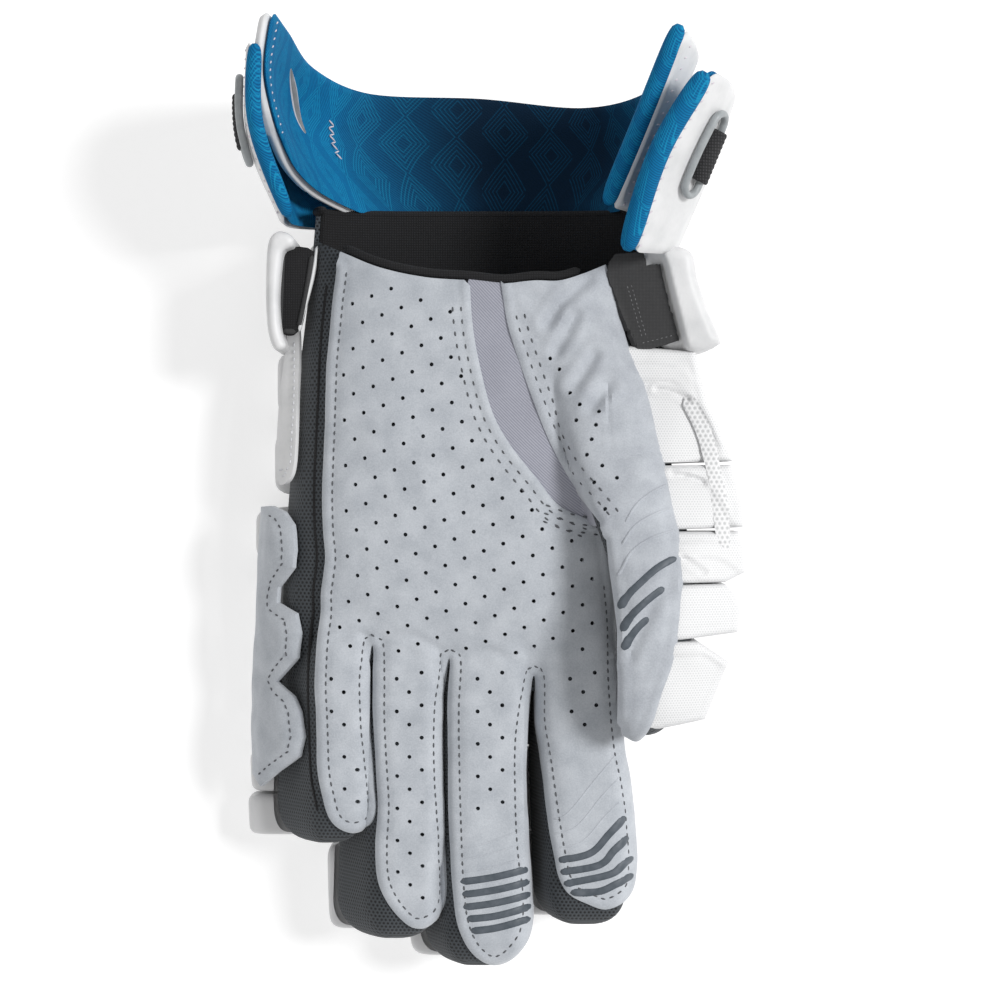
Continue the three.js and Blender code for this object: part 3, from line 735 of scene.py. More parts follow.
def make_hex_cells():
    """Distance from the middle of the nearest hexagonal cell, 0 there and 1 at the cell's edge."""
    tree, (vector, pitch), sink = new_group("Hex cells", ("Pitch", 0.002), ["Distance"])
    x, y, _ = vector.parts()
    cells = []
    for shift in (1000.25, 1000.75):
        from_x = abs((x / pitch + shift).fract() - 0.5)
        from_y = abs((y / (pitch * ROOT3) + shift).fract() - 0.5) * ROOT3
        cells.append(from_x.run("MAXIMUM", from_x * 0.5 + from_y * (ROOT3 / 2)) * 2)
    fill_inputs(tree, sink, {"Distance": cells[0].run("MINIMUM", cells[1])})
    return tree


def make_fibre():
    """Fine nap: colour mask and height for cloth and suede."""
    tree, (vector, size), sink = new_group("Fibre", ("Size", 1500.0), ["Mask", "Height"])
    fine = texture(vector, "Noise", {"Scale": size, "Detail": 4})
    broad = texture(vector, "Noise", {"Scale": size * 0.06, "Detail": 3})
    fill_inputs(tree, sink, {"Mask": fine * 0.45 + broad * 0.55, "Height": fine})
    return tree


hex_cells = make_hex_cells()
fibre = make_fibre()


def new_material(name):
    material = bpy.data.materials.new(name)
    material.use_nodes = True
    return material, material.node_tree


def finish_material(material, color, rough, relief, **others):
    """Fills the shader's inputs; the names of others have a low line for a space."""
    inputs = {label.replace("_", " "): value for label, value in others.items()}
    fill_inputs(material.node_tree, material.node_tree.nodes["Principled BSDF"],
                {"Base Color": color, "Roughness": rough, "Normal": relief, **inputs})
    return material


def make_suede(name, dark, light):
    material, tree = new_material(name)
    inputs = {"Vector": coordinates(tree), "Size": 1800}
    color = ramp(use_group(fibre, "Mask", inputs), (0.35, dark), (0.65, light))
    relief = bump(use_group(fibre, "Height", inputs), 0.35, 0.15 * MM)
    return finish_material(material, color, 0.9, relief, Sheen_Weight=0.3, Sheen_Roughness=0.5)


def make_air_mesh():
    """Dark spacer mesh: a light grid of hexagons round black cells."""
    material, tree = new_material("air_mesh")
    cells = use_group(hex_cells, "Distance", {"Vector": wall_coordinates(tree), "Pitch": 1.5 * MM})
    color = ramp(cells, (0.42, (0.002, 0.002, 0.003)), (0.60, (0.037, 0.044, 0.051)), (0.95, (0.05, 0.057, 0.064)))
    return finish_material(material, color, 0.85, bump(cells, 0.6, 0.35 * MM), Sheen_Weight=0.08)


def make_twill():
    material, tree = new_material("gusset_twill")
    place_value = coordinates(tree)
    wave = texture(place_value, "Wave", {"Scale": 560, "Distortion": 0.6}, bands_direction="DIAGONAL")
    mask = wave * 0.5 + use_group(fibre, "Mask", {"Vector": place_value, "Size": 900}) * 0.5
    color = ramp(mask, (0.3, (0.23, 0.235, 0.28)), (0.75, (0.36, 0.365, 0.42)))
    return finish_material(material, color, 0.75, bump(mask, 0.4, 0.2 * MM), Sheen_Weight=0.25)


def make_white_leather():
    material, tree = new_material("white_leather")
    place_value = coordinates(tree)
    grain = texture(place_value, "Voronoi", {"Scale": 900}, "Distance")
    cloud = texture(place_value, "Noise", {"Scale": 90, "Detail": 5})
    color = ramp(cloud, (0.3, (0.60, 0.605, 0.61)), (0.6, (0.69, 0.69, 0.695)))
    relief = bump(cloud, 0.25, 0.6 * MM, Normal=bump(grain, 0.12, 0.15 * MM))
    return finish_material(material, color, 0.48, relief, Specular_IOR_Level=0.4)


def make_net(name, pitch, dark, light, depth):
    """White cloth with small sunk cells."""
    material, tree = new_material(name)
    cells = use_group(hex_cells, "Distance", {"Vector": wall_coordinates(tree), "Pitch": pitch})
    cloud = texture(coordinates(tree), "Noise", {"Scale": 90, "Detail": 5})
    relief = bump(cloud, 0.25, 0.6 * MM, Normal=bump(cells, 0.5, depth))
    return finish_material(material, ramp(cells, (0.35, dark), (0.75, light)), 0.6, relief, Specular_IOR_Level=0.3)


DIAMOND_WIDTH = 13 * MM
DIAMOND_LENGTH = 24 * MM
DIAMOND_RINGS = 5.5
COLUMN_SHIFT = 0.37
# Painted shade on the lining: its colour is full above the one height and darkened to painted shade below the other,
# and fuller to the left, where less painted shade is laid.
DEEP_SHADE = 10 * MM
PAINTED_SHADE_TOP = 46 * MM
LEFT_LIGHT = 0.5


def make_lining():
    """Blue knit with tone-on-tone nested diamonds in slanting columns, laid by its own cloth coordinates; painted
    shade darkens it low in the cuff and towards the right.
    """
    material, tree = new_material("lining_knit")
    cloth = coordinates(tree, "UV")
    x, y, _ = cloth.parts()
    x = x / DIAMOND_WIDTH + 100
    y = y / DIAMOND_LENGTH + x.run("FLOOR") * COLUMN_SHIFT + 100
    reach = (abs(x.fract() - 0.5) + abs(y.fract() - 0.5)) * 2
    line = ((reach * DIAMOND_RINGS).fract() > 0.68) * ((reach < 1.15) * (reach > 0.30))
    knit = texture(cloth, "Wave", {"Scale": 480, "Distortion": 1.2, "Detail Scale": 3}, bands_direction="DIAGONAL")
    nap = use_group(fibre, "Mask", {"Vector": cloth, "Size": 1200})
    ground = ramp(nap * 0.5 + knit * 0.5, (0.2, (0.001, 0.07, 0.19)), (0.8, (0.002, 0.17, 0.37)))
    full = mix_colors(line * 0.6, ground, (0.008, 0.27, 0.47, 1))
    # Painted shade: a dark copy of the lining's blue, mixed in low in the cuff and away from the left, where the
    # flap's shadow falls.
    painted_shade_blue = ramp(line * 0.6 + knit * 0.2, (0.2, (0.0005, 0.013, 0.034)), (0.8, (0.001, 0.045, 0.10)))
    x, _, z = coordinates(tree).parts()
    light = add_node(tree, "MapRange", "Result", {"Value": z + (x * -LEFT_LIGHT).run("MAXIMUM", 0),
                                                  "From Min": DEEP_SHADE, "From Max": PAINTED_SHADE_TOP})
    color = mix_colors(light, painted_shade_blue, full)
    return finish_material(material, color, 0.8, bump(knit, 0.3, 0.2 * MM), Specular_IOR_Level=0.15)


def make_weave(name, dark, light, scale):
    """Cloth of crossed threads."""
    material, tree = new_material(name)
    place_value = coordinates(tree)
    wave = {"Scale": scale, "Distortion": 0.8, "Detail": 1}
    threads = [texture(place_value, "Wave", wave, bands_direction=direction) for direction in ("X", "Y")]
    crossed = threads[0] * threads[1]
    mask = crossed * 0.5 + use_group(fibre, "Mask", {"Vector": place_value, "Size": 700}) * 0.5
    return finish_material(material, ramp(mask, (0.25, dark), (0.7, light)), 0.9, bump(crossed, 0.5, 0.3 * MM))


def make_plain(name, dark, light, rough):
    """Moulded plastic, thread or print with slight unevenness."""
    material, tree = new_material(name)
    cloud = texture(coordinates(tree), "Noise", {"Scale": 400, "Detail": 3})
    return finish_material(material, ramp(cloud, (0.3, dark), (0.7, light)), rough, bump(cloud, 0.1, 0.1 * MM))


guard_cloth = make_net("guard_cloth", 1.0 * MM, (0.62, 0.625, 0.63), (0.76, 0.76, 0.765), 0.2 * MM)
white_net = make_net("white_net", 1.9 * MM, (0.52, 0.525, 0.53), (0.76, 0.76, 0.765), 0.6 * MM)
suede = make_suede("suede", (0.36, 0.385, 0.42), (0.49, 0.515, 0.55))
# The thumb's suede is the palm's suede made a little darker: painted shade.
shaded_thumb_suede = make_suede("shaded_thumb_suede", (0.34, 0.36, 0.395), (0.47, 0.495, 0.53))
air_mesh = make_air_mesh()
twill = make_twill()
white_leather = make_white_leather()
lining_knit = make_lining()
charcoal = make_weave("charcoal_weave", (0.03, 0.03, 0.031), (0.062, 0.062, 0.064), 620)
black_knit = make_weave("black_knit", (0.002, 0.002, 0.0025), (0.014, 0.014, 0.016), 350)
webbing_cloth = make_weave("webbing_cloth", (0.008, 0.008, 0.009), (0.04, 0.04, 0.043), 300)
grey_plastic = make_plain("grey_plastic", (0.27, 0.29, 0.30), (0.33, 0.35, 0.36), 0.42)
slit_grey = make_plain("slit_grey", (0.16, 0.165, 0.17), (0.24, 0.245, 0.25), 0.7)
grip_print = make_plain("grip_print", (0.055, 0.07, 0.085), (0.09, 0.105, 0.125), 0.55)
dark_thread = make_plain("dark_thread", (0.055, 0.058, 0.065), (0.11, 0.115, 0.125), 0.7)
pale_thread = make_plain("pale_thread", (0.50, 0.51, 0.53), (0.62, 0.63, 0.65), 0.7)
faint_thread = make_plain("faint_thread", (0.12, 0.12, 0.125), (0.2, 0.2, 0.205), 0.7)
blue_thread = make_plain("blue_thread", (0.55, 0.50, 0.55), (0.68, 0.62, 0.66), 0.7)


# Edges of the leather, in shares
WRIST_EDGE = [(-0.65, -0.08), (-0.55, -0.06), (-0.41, -0.035), (-0.25, -0.02), (-0.09, -0.015), (0.03, -0.01),
              (0.14, -0.015), (0.23, -0.015), (0.31, -0.025), (0.39, -0.04)]
GUSSET = [(-0.015, -0.09, 0.02), (0.05, -0.08, 0.045), (0.11, -0.055, 0.09), (0.18, -0.01, 0.15),
          (0.23, 0.055, 0.20), (0.28, 0.15, 0.265), (0.32, 0.23, 0.335), (0.345, 0.36, 0.38)]
PALM_THUMB_SIDE = [(0.40, 0.36), (0.42, 0.42), (0.435, 0.50), (0.438, 0.55)]
PALM_OUTER_SIDE = [(-0.640, 0.55), (-0.632, 0.51), (-0.622, 0.48), (-0.622, 0.45), (-0.612, 0.42), (-0.607, 0.395),
                   (-0.615, 0.35), (-0.617, 0.29), (-0.606, 0.18), (-0.597, 0.09), (-0.582, 0.02), (-0.565, -0.035)]
THUMB_OUTER_SIDE = [(0.44, 0.03), (0.48, 0.09), (0.53, 0.14), (0.56, 0.19), (0.59, 0.25), (0.62, 0.31), (0.65, 0.38),
                    (0.65, 0.46), (0.63, 0.53), (0.59, 0.59), (0.55, 0.64), (0.51, 0.665), (0.47, 0.66)]
THUMB_INNER_SIDE = [(0.44, 0.63), (0.44, 0.53), (0.43, 0.47), (0.41, 0.41), (0.40, 0.37)]
PANEL_BORDER = 3.9 * MM

# The palm's hem from the thumb to the little finger: edges of the fingers beyond the slits, across, along
FINGER_PANELS = {
    "index": [(0.445, 0.61), (0.462, 0.68), (0.486, 0.74), (0.503, 0.80), (0.510, 0.86), (0.500, 0.897),
              (0.46, 0.917), (0.40, 0.927), (0.34, 0.920), (0.27, 0.905), (0.235, 0.88), (0.218, 0.845),
              (0.198, 0.79), (0.178, 0.73), (0.162, 0.68)],
    "middle": [(0.108, 0.69), (0.110, 0.77), (0.117, 0.84), (0.130, 0.91), (0.120, 0.962), (0.085, 0.99),
               (0.04, 1.008), (-0.01, 1.014), (-0.06, 1.003), (-0.105, 0.98), (-0.135, 0.945), (-0.148, 0.89),
               (-0.155, 0.82), (-0.160, 0.74), (-0.164, 0.67)],
    "ring": [(-0.187, 0.69), (-0.185, 0.76), (-0.180, 0.83), (-0.174, 0.90), (-0.19, 0.932), (-0.23, 0.95),
             (-0.29, 0.955), (-0.34, 0.942), (-0.39, 0.915), (-0.42, 0.88), (-0.424, 0.83), (-0.418, 0.77),
             (-0.427, 0.70)],
    "little": [(-0.440, 0.70), (-0.431, 0.75), (-0.427, 0.775), (-0.44, 0.795), (-0.47, 0.806), (-0.52, 0.810),
               (-0.57, 0.802), (-0.60, 0.785), (-0.618, 0.755), (-0.632, 0.72), (-0.637, 0.66), (-0.642, 0.60)],
}
# Slits after the fingers of these names
SLITS = {
    "index": [(0.150, 0.64), (0.148, 0.60), (0.146, 0.582), (0.141, 0.575), (0.134, 0.582), (0.128, 0.60),
              (0.116, 0.64)],
    "middle": [(-0.163, 0.62), (-0.158, 0.58), (-0.157, 0.557), (-0.162, 0.549), (-0.168, 0.557), (-0.176, 0.58),
               (-0.187, 0.62)],
    "ring": [(-0.432, 0.65), (-0.431, 0.58), (-0.433, 0.54), (-0.439, 0.528), (-0.446, 0.54), (-0.453, 0.58),
             (-0.449, 0.65)],
}

gusset_left = curve_through(place([(left, y) for y, left, _ in GUSSET]))
gusset_right = curve_through(place([(right, y) for y, _, right in GUSSET]))
gusset_outline = np.vstack([gusset_left, gusset_right[::-1]])
palm_wrist = place([point for point in WRIST_EDGE if -0.6 < point[0] <= -0.09])
hem_chain = list(PALM_THUMB_SIDE)
for finger_name in reversed(FINGERS):
    hem_chain += FINGER_PANELS[finger_name] + SLITS.get(finger_name, [])
hem = curve_through(place(hem_chain + PALM_OUTER_SIDE), 5)
palm_outline = np.vstack([curve_through(palm_wrist)[:-1], gusset_left[1:], hem])
thumb_outer = curve_through(place(THUMB_OUTER_SIDE))
thumb_inner = curve_through(place(THUMB_INNER_SIDE))
thumb_wrist = curve_through(place([point for point in WRIST_EDGE if point[0] > 0.02]))
thumb_outline = np.vstack([thumb_wrist, thumb_outer, thumb_inner, gusset_right[::-1]])


def wrinkles(points, size, amount, stretch=(1, 1), seed=0):
    rises = [noise.noise(Vector((x * stretch[0] / size, y * stretch[1] / size, seed))) for x, y in points]
    return np.array(rises) * amount


def groove(distance, at, width, amount):
    return -amount * np.exp(-((distance - at) / width) ** 2)


def border_relief(points, edges):
    """Leather that dips at its row of stitches and rolls down at its edge."""
    nearest = np.full(len(points), 1e9)
    for edge, closed in edges:
        nearest = np.minimum(nearest, distance_to_path(points, edge, closed))
    swell = 0.35 * MM * np.exp(-((nearest - PANEL_BORDER / 2) / (1.2 * MM)) ** 2)
    return groove(nearest, PANEL_BORDER, 0.9 * MM, 0.3 * MM) + swell - 0.6 * MM * np.exp(-nearest / (0.8 * MM))


def creases(points, paths, width, amount):
    """Folds along paths: a groove with a swell at its side."""
    rise = np.zeros(len(points))
    for path in paths:
        distance = distance_to_path(points, curve_through(plan(path), 6), False)
        rise += groove(distance, 0, width, amount) + 0.6 * amount * np.exp(-((distance - 2 * width) / width) ** 2)
    return rise


# Perforations: a slanted lattice over palm and fingers, away from every edge
HOLE_ORIGIN = (-0.37, -0.003)
HOLE_STEP_ACROSS = (-6.9 * MM, -2.6 * MM)
HOLE_STEP_ALONG = (3.6 * MM, -6.8 * MM)
FINGER_HOLE_PITCH = 11.6 * MM
FINGER_HOLE_SIDE = 4.4 * MM
HOLE_MARGIN = 6.0 * MM
FINGER_HOLE_MARGIN = 5.2 * MM
PALM_HOLES_END = 0.54
FINGER_HOLES_START = 0.575
# Fingers whose holes end before their tip
HOLES_END = {"middle": 0.775, "index": 0.655}


def palm_holes():
    origin = place([HOLE_ORIGIN])[0]
    steps = np.array([HOLE_STEP_ACROSS, HOLE_STEP_ALONG])
    grid = np.array([origin + a * steps[0] + b * steps[1] for a in range(-22, 22) for b in range(-4, 34)])
    region = grid[inside(grid, palm_outline)]
    region = region[distance_to_path(region, palm_outline) > HOLE_MARGIN]
    region = region[region[:, 1] > along(PALM_HOLES_END)]
    clear_of_thumb = ~inside(region, thumb_outline) & (distance_to_path(region, thumb_outline) > 3 * MM)
    return region[clear_of_thumb]


def finger_holes(name):
    finger = FINGERS[name]
    start = along(FINGER_HOLES_START)
    end = along(HOLES_END[name]) if name in HOLES_END else WRIST_Y - finger["reach"]
    points = []
    rows = int((start - end) / (FINGER_HOLE_PITCH / 2)) + 1
    for row in range(rows):
        y = start - row * FINGER_HOLE_PITCH / 2
        share = clamp((WRIST_Y - y - FINGER_ROOT) / (finger["reach"] - FINGER_ROOT))
        left, right = (finger["root"][i] * (1 - share) + finger["tip"][i] * share for i in (0, 1))
        middle = across((left + right) / 2)
        offsets = (0,) if row % 2 else (-FINGER_HOLE_SIDE, FINGER_HOLE_SIDE)
        points += [(middle + offset, y + offset / 4) for offset in offsets]
    points = np.array(points)
    keep = inside(points, palm_outline) & (distance_to_path(points, palm_outline) > FINGER_HOLE_MARGIN)
    return points[keep]


# Rows of stitches: how far from the edge
DOUBLE_ROWS = (3.6 * MM, 6.6 * MM)
DOUBLE_PITCH = 4.4 * MM
# Grips on the middle and index finger: raised lines first, then printed bars
MIDDLE_LINES = [[(457, 849), (490, 841), (522, 829)], [(458, 860), (490, 853), (523, 843)],
                [(460, 872), (490, 867), (524, 857)]]
MIDDLE_BARS = [[(459, 882), (492, 877), (526, 869)], [(460, 895), (493, 890), (527, 882)],
               [(461, 908), (494, 903), (528, 895)], [(464, 920), (496, 916), (528, 907)],
               [(468, 932), (497, 928), (527, 919)]]
INDEX_LINES = [[(553, 819), (566, 814), (592, 782), (617, 751)], [(554, 834), (576, 826), (599, 798), (619, 775)],
               [(557, 848), (582, 841), (603, 817), (619, 800)]]
INDEX_BARS = [[(557, 861), (590, 853), (608, 834), (624, 815)], [(559, 873), (599, 865), (613, 850), (627, 836)],
              [(562, 885), (608, 875), (620, 866), (631, 858)], [(568, 893), (598, 892), (616, 884), (632, 876)]]
THUMB_LINES = [[(621, 525), (632, 506), (647, 493), (662, 485)], [(618, 546), (630, 527), (648, 515), (666, 508)],
               [(616, 576), (627, 552), (646, 538), (669, 530)]]
THUMB_BARS = [[(618, 608), (625, 593), (636, 581), (653, 566), (671, 556)],
              [(620, 630), (627, 614), (638, 602), (650, 592), (661, 584)],
              [(621, 648), (627, 634), (635, 623), (646, 613)]]
THUMB_SEAMS = [[(606, 388), (607, 420), (608, 458)], [(609, 459), (632, 457), (656, 452)]]
THUMB_CREASES = [[(546, 325), (562, 303), (586, 280)], [(556, 352), (566, 334), (573, 318)],
                 [(574, 388), (584, 372), (592, 358)], [(590, 410), (598, 398), (606, 388)]]
TIP_CREASE = [[(662, 582), (650, 598), (636, 628), (626, 652)]]
THUMB_HOLES = [(549, 360), (560, 371), (570, 395), (579, 407), (576, 422), (597, 414), (594, 427), (590, 441),
               (586, 456), (600, 467), (593, 483), (614, 479), (603, 509)]
ROOT_CREASES = [[(335, 640), (352, 632), (366, 636)], [(384, 640), (410, 634), (436, 648)],
                [(462, 654), (490, 650), (520, 668)]]
GUSSET_END_ROWS = [[(541, 503), (566, 513), (602, 520)], [(539, 511), (564, 521), (602, 528)],
                   [(538, 519), (562, 529), (600, 535)]]


def palm_relief(points):
    rise = border_relief(points, [(hem, False), (gusset_left, False)])
    rise += wrinkles(points, 26 * MM, 0.8 * MM, seed=3)
    rise += wrinkles(points, 9 * MM, 0.25 * MM, seed=8)
    rise += creases(points, ROOT_CREASES, 1.6 * MM, 0.4 * MM)
    return rise


def build_palm():
    holes = np.vstack([palm_holes()] + [finger_holes(name) for name in FINGERS])
    body = sheet_panel("palm_leather", palm_outline, palm, palm_relief, holes=holes)
    finish_piece(body, "palm_leather_skin", suede, ["palm_leather"])
    rows = inset(palm_outline, PANEL_BORDER)[-len(hem):]
    stitch_rows("palm_hem_stitches", [rows[6:]], palm, dark_thread, relief=palm_relief)
    first = len(palm_outline) - len(hem) - len(gusset_left) + 4
    rows = [inset(palm_outline, far)[first:-len(hem)] for far in DOUBLE_ROWS]
    rows += [plan(row) for row in GUSSET_END_ROWS]
    stitch_rows("palm_double_stitches", rows, palm, dark_thread, pitch=DOUBLE_PITCH, relief=palm_relief)
    for name, lines, bars in (("middle", MIDDLE_LINES, MIDDLE_BARS), ("index", INDEX_LINES, INDEX_BARS)):
        ribbons(f"{name}_grip_lines", [plan(line) for line in lines], 1.1 * MM, 0.45 * MM, palm, suede, "suede",
                relief=palm_relief, strips=4)
        ribbons(f"{name}_grip_bars", [plan(bar) for bar in bars], 3.2 * MM, 0.6 * MM, palm, grip_print, "suede",
                relief=palm_relief)
    seam = inset(palm_outline, -3.4 * MM)[-len(PALM_OUTER_SIDE) * 5 - 20:-2]
    ribbons("mesh_seam", [seam], 1.2 * MM, 0.5 * MM, palm, black_knit, "mesh", off=0.1 * MM, strips=4)
    binding = place([(a, b - 0.008) for a, b in WRIST_EDGE[1:-1]])
    ribbons("wrist_binding", [binding], 3.2 * MM, 1.2 * MM, thumb, black_knit, "knit", off=0.4 * MM)


def thumb_relief(points):
    rise = border_relief(points, [(thumb_outer, False), (thumb_inner, False), (gusset_right, False)])
    near_wrist = np.clip((points[:, 1] - along(0.20)) / (50 * MM), 0, 1)
    rise += wrinkles(points @ np.array([[0.8, 0.6], [-0.6, 0.8]]), 11 * MM, 0.8 * MM, (0.45, 1.6), 5) * near_wrist
    rise += wrinkles(points, 14 * MM, 0.35 * MM, seed=2)
    rise += creases(points, THUMB_CREASES, 2.0 * MM, 1.3 * MM)
    rise += creases(points, THUMB_SEAMS, 0.6 * MM, 0.4 * MM)
    rise += creases(points, TIP_CREASE, 2.0 * MM, 0.8 * MM)
    return rise


def build_thumb_and_gusset():
    piece = sheet_panel("thumb_leather", thumb_outline, thumb, thumb_relief, holes=plan(THUMB_HOLES))
    finish_piece(piece, "thumb_leather_skin", shaded_thumb_suede, ["thumb_leather"])
    rows = [inset(thumb_outline, far)[-len(gusset_right):-6] for far in DOUBLE_ROWS]
    stitch_rows("thumb_double_stitches", rows, thumb, dark_thread, pitch=DOUBLE_PITCH, relief=thumb_relief)
    ribbons("thumb_grip_lines", [plan(line) for line in THUMB_LINES], 1.3 * MM, 0.6 * MM, thumb, shaded_thumb_suede, "suede",
            relief=thumb_relief, strips=4)
    ribbons("thumb_grip_bars", [plan(bar) for bar in THUMB_BARS], 3.0 * MM, 0.6 * MM, thumb, grip_print, "suede",
            relief=thumb_relief)

    def gusset_relief(points):
        return wrinkles(points, 10 * MM, 0.35 * MM, seed=4) - 0.2 * MM

    piece = sheet_panel("thumb_gusset", inset(gusset_outline, -1.2 * MM), thumb, gusset_relief,
                        thickness=1.0 * MM, off=-0.2 * MM)
    finish_piece(piece, "thumb_gusset_cloth", twill, ["thumb_gusset"])


def build_mesh_body():
    cut_corners = [(across(1), along(-0.04)), (across(1), along(-0.5)), (across(-1), along(-0.5)),
                   (across(-1), along(-0.08))]
    cutback = np.vstack([curve_through(place(WRIST_EDGE)), cut_corners])
    body = hand_form(0)
    hollow = hand_form(-MESH_WALL)
    for name in FINGERS:
        combine(body, finger_form(name, 0), "UNION")
        combine(hollow, finger_form(name, -MESH_WALL), "UNION")
    combine(body, thumb_form(0), "UNION")
    combine(hollow, thumb_form(-MESH_WALL), "UNION")
    combine(body, hollow, "DIFFERENCE")
    combine(body, prism("cutback", cutback, deep(0.45), SKY), "DIFFERENCE")
    socks = [f"{name}_sock" for name in (*FINGERS, "thumb")]
    finish_piece(body, "mesh_body", air_mesh, ["hand_mesh", *socks], sharp=50)
    knit = hand_form(-MESH_WALL - SEAT)
    combine(knit, hand_form(-MESH_WALL - SEAT - 1.4 * MM), "DIFFERENCE")
    low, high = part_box("wrist_knit")
    band = [(low.x - 0.01, low.y), (high.x + 0.01, low.y), (high.x + 0.01, high.y), (low.x - 0.01, high.y)]
    combine(knit, prism("band", band, 0, high.z), "INTERSECT")
    finish_piece(knit, "wrist_knit_band", black_knit, ["wrist_knit"])


# Foam pads
WRIST_PAD_HEIGHT = 56 * MM
ROLLS_START = 104 * MM
PAD_WRAP = 3 * MM
PAD_GAP = 0.8 * MM
BACK_PADS = [
    (0.075, 0.19, -0.81, 0.62),
    (0.20, 0.31, -0.82, 0.60),
    (0.32, 0.41, -0.89, 0.56),
]
ROLLS = {"little": 6, "ring": 4, "middle": 4, "index": 4}
# Thumb guard: outlines of its steps on the plan, top at the outer edge and bottom
THUMB_GUARD = [
    ([(612, 345), (694, 352), (706, 403), (716, 423), (721, 439), (731, 461), (625, 465)], 1.02, 0.25),
    ([(640, 466), (729, 465), (740, 506), (741, 527), (640, 530)], 1.08, 0.35),
    ([(640, 531), (736, 531), (742, 553), (742, 572), (722, 581), (640, 582)], 1.10, 0.42),
    ([(640, 583), (722, 583), (731, 593), (738, 608), (735, 631), (672, 637), (640, 637)], 1.15, 0.55),
    ([(640, 638), (694, 639), (725, 660), (702, 717), (645, 727), (640, 726)], 1.20, 0.62),
]
GUARD_OUTER = [(706, 354), (712, 403), (731, 461), (741, 510), (742, 560), (738, 608), (730, 660), (704, 717),
               (690, 735)]
GUARD_RIDGES = [[(620, 372), (660, 373), (680, 378), (704, 404), (724, 440)],
                [(640, 471), (696, 469), (714, 486), (736, 518)], [(650, 551), (712, 549), (744, 566)],
                [(650, 645), (700, 644), (730, 664)]]
RIDGE_HALF = 3.4 * MM
RIDGE_RISE = 0.9 * MM
GUARD_FOLDS = [[(655, 390), (672, 393), (686, 401)], [(669, 474), (685, 477), (701, 483)], [(678, 556), (700, 571)]]
GUARD_NET = [(684, 396), (703, 436), (714, 490), (722, 552)]
RIGHT_WRIST_PAD = [(640, 250), (672, 248), (684, 250), (692, 258), (696, 281), (706, 310), (718, 340), (715, 346),
                   (697, 352), (684, 351), (660, 345), (640, 300)]
RIGHT_BLOCK_LEFT = [(648, 236), (660, 265), (666, 289), (679, 342), (684, 362)]
LEFT_WRIST_PAD = [(276, 233), (286, 233), (294, 239), (293, 247), (284, 252), (281, 268), (279, 300), (281, 330),
                  (286, 347), (275, 350), (268, 330), (266, 290), (268, 246)]


# The hand in its leather and the bare hand, which the pads are cut to
DRESSED = SEAT * 2 + LEATHER
dressed_form = hand_form(DRESSED)
for form in [finger_form(name, DRESSED) for name in FINGERS] + [thumb_form(DRESSED)]:
    combine(dressed_form, form, "UNION")
dressed_form.name = "dressed_form"
snug_form = hand_form(SEAT)
combine(snug_form, thumb_form(SEAT), "UNION")


PAD_CROWN = 0.06
PAD_CUTS = 16
PAD_SEAM = 9 * MM
PAD_SEAM_DEPTH = 0.6 * MM
PAD_SEAM_HALF = 1.1 * MM


def foam_block(start, end):
    """Rounded foam block between two places along Y, with a seam round it, cut flat at the floor."""
    (y0, left0, right0), (y1, left1, right1) = start, end
    top, bottom = PAD_DEPTH + PAD_WRAP, -PAD_WRAP
    bm = bmesh.new()
    bmesh.ops.create_cube(bm, size=2)
    bmesh.ops.subdivide_edges(bm, edges=bm.edges[:], cuts=PAD_CUTS, use_grid_fill=True)
    for vert in bm.verts:
        unit = np.array(vert.co)
        size = max(abs(unit))
        unit = unit / (abs(unit) ** 7).sum() ** (1 / 7) * size
        share = (1 - unit[1]) / 2
        left, right = left0 + (left1 - left0) * share, right0 + (right1 - right0) * share
        bulge = 1 + PAD_CROWN * (1 - unit[0] ** 2) * (1 - unit[1] ** 2)
        x = (left + right) / 2 + unit[0] * (right - left) / 2
        y = (y0 + y1) / 2 + unit[1] * (y1 - y0) / 2
        z = (top + bottom) / 2 + unit[2] * (top - bottom) / 2 * (bulge if unit[2] > 0 else 1)
        pull = PAD_SEAM_DEPTH * math.exp(-((z - PAD_SEAM) / PAD_SEAM_HALF) ** 2) * (abs(unit[2]) < 0.98)
        x -= math.copysign(pull, unit[0]) * (abs(unit[0]) > 0.9)
        y -= math.copysign(pull, y - (y0 + y1) / 2) * (abs(unit[1]) > 0.9)
        vert.co = (x, y, z)
    geometry = bm.verts[:] + bm.edges[:] + bm.faces[:]
    cut = bmesh.ops.bisect_plane(bm, geom=geometry, plane_co=(0, 0, 0), plane_no=(0, 0, 1), clear_inner=True)
    rim = [item for item in cut["geom_cut"] if isinstance(item, bmesh.types.BMEdge)]
    bmesh.ops.holes_fill(bm, edges=rim, sides=0)
    bmesh.ops.recalc_face_normals(bm, faces=bm.faces)
    return from_bmesh("pad", bm)


MOUTH_ROLL = 1.7 * MM
MOUTH_STEPS = 70


def build_mouth_binding():
    """Black binding on the wrist end of the mesh, round the back of the hand."""
    y, palm_left, palm_right, back_left, back_right, top, bottom = hand_rows[0]
    path = []
    for turn in np.linspace(math.pi * 0.93, math.pi * 2.07, MOUTH_STEPS):
        unit_x, unit_z = rounded_square(turn, SQUARENESS)
        share = (1 + unit_z) / 2
        left, right = back_left + (palm_left - back_left) * share, back_right + (palm_right - back_right) * share
        path.append(((left + right) / 2 + unit_x * ((right - left) / 2 - MESH_WALL / 2), y - 0.6 * MM,
                     (bottom + top) / 2 + unit_z * ((top - bottom) / 2 - MESH_WALL / 2)))
    bm = bmesh.new()
    tube(bm, path, ends_round(len(path), MOUTH_ROLL), squash=1.5)
    finish_piece(from_bmesh("mouth", bm), "mouth_binding", black_knit, sharp=80)


def finish_pad(piece, node, material=white_leather, form=dressed_form):
    combine(piece, form, "DIFFERENCE", keep=True)
    finish_piece(piece, f"{node}_foam", material, [node], sharp=60)


PAD_CELL = 0.9 * MM


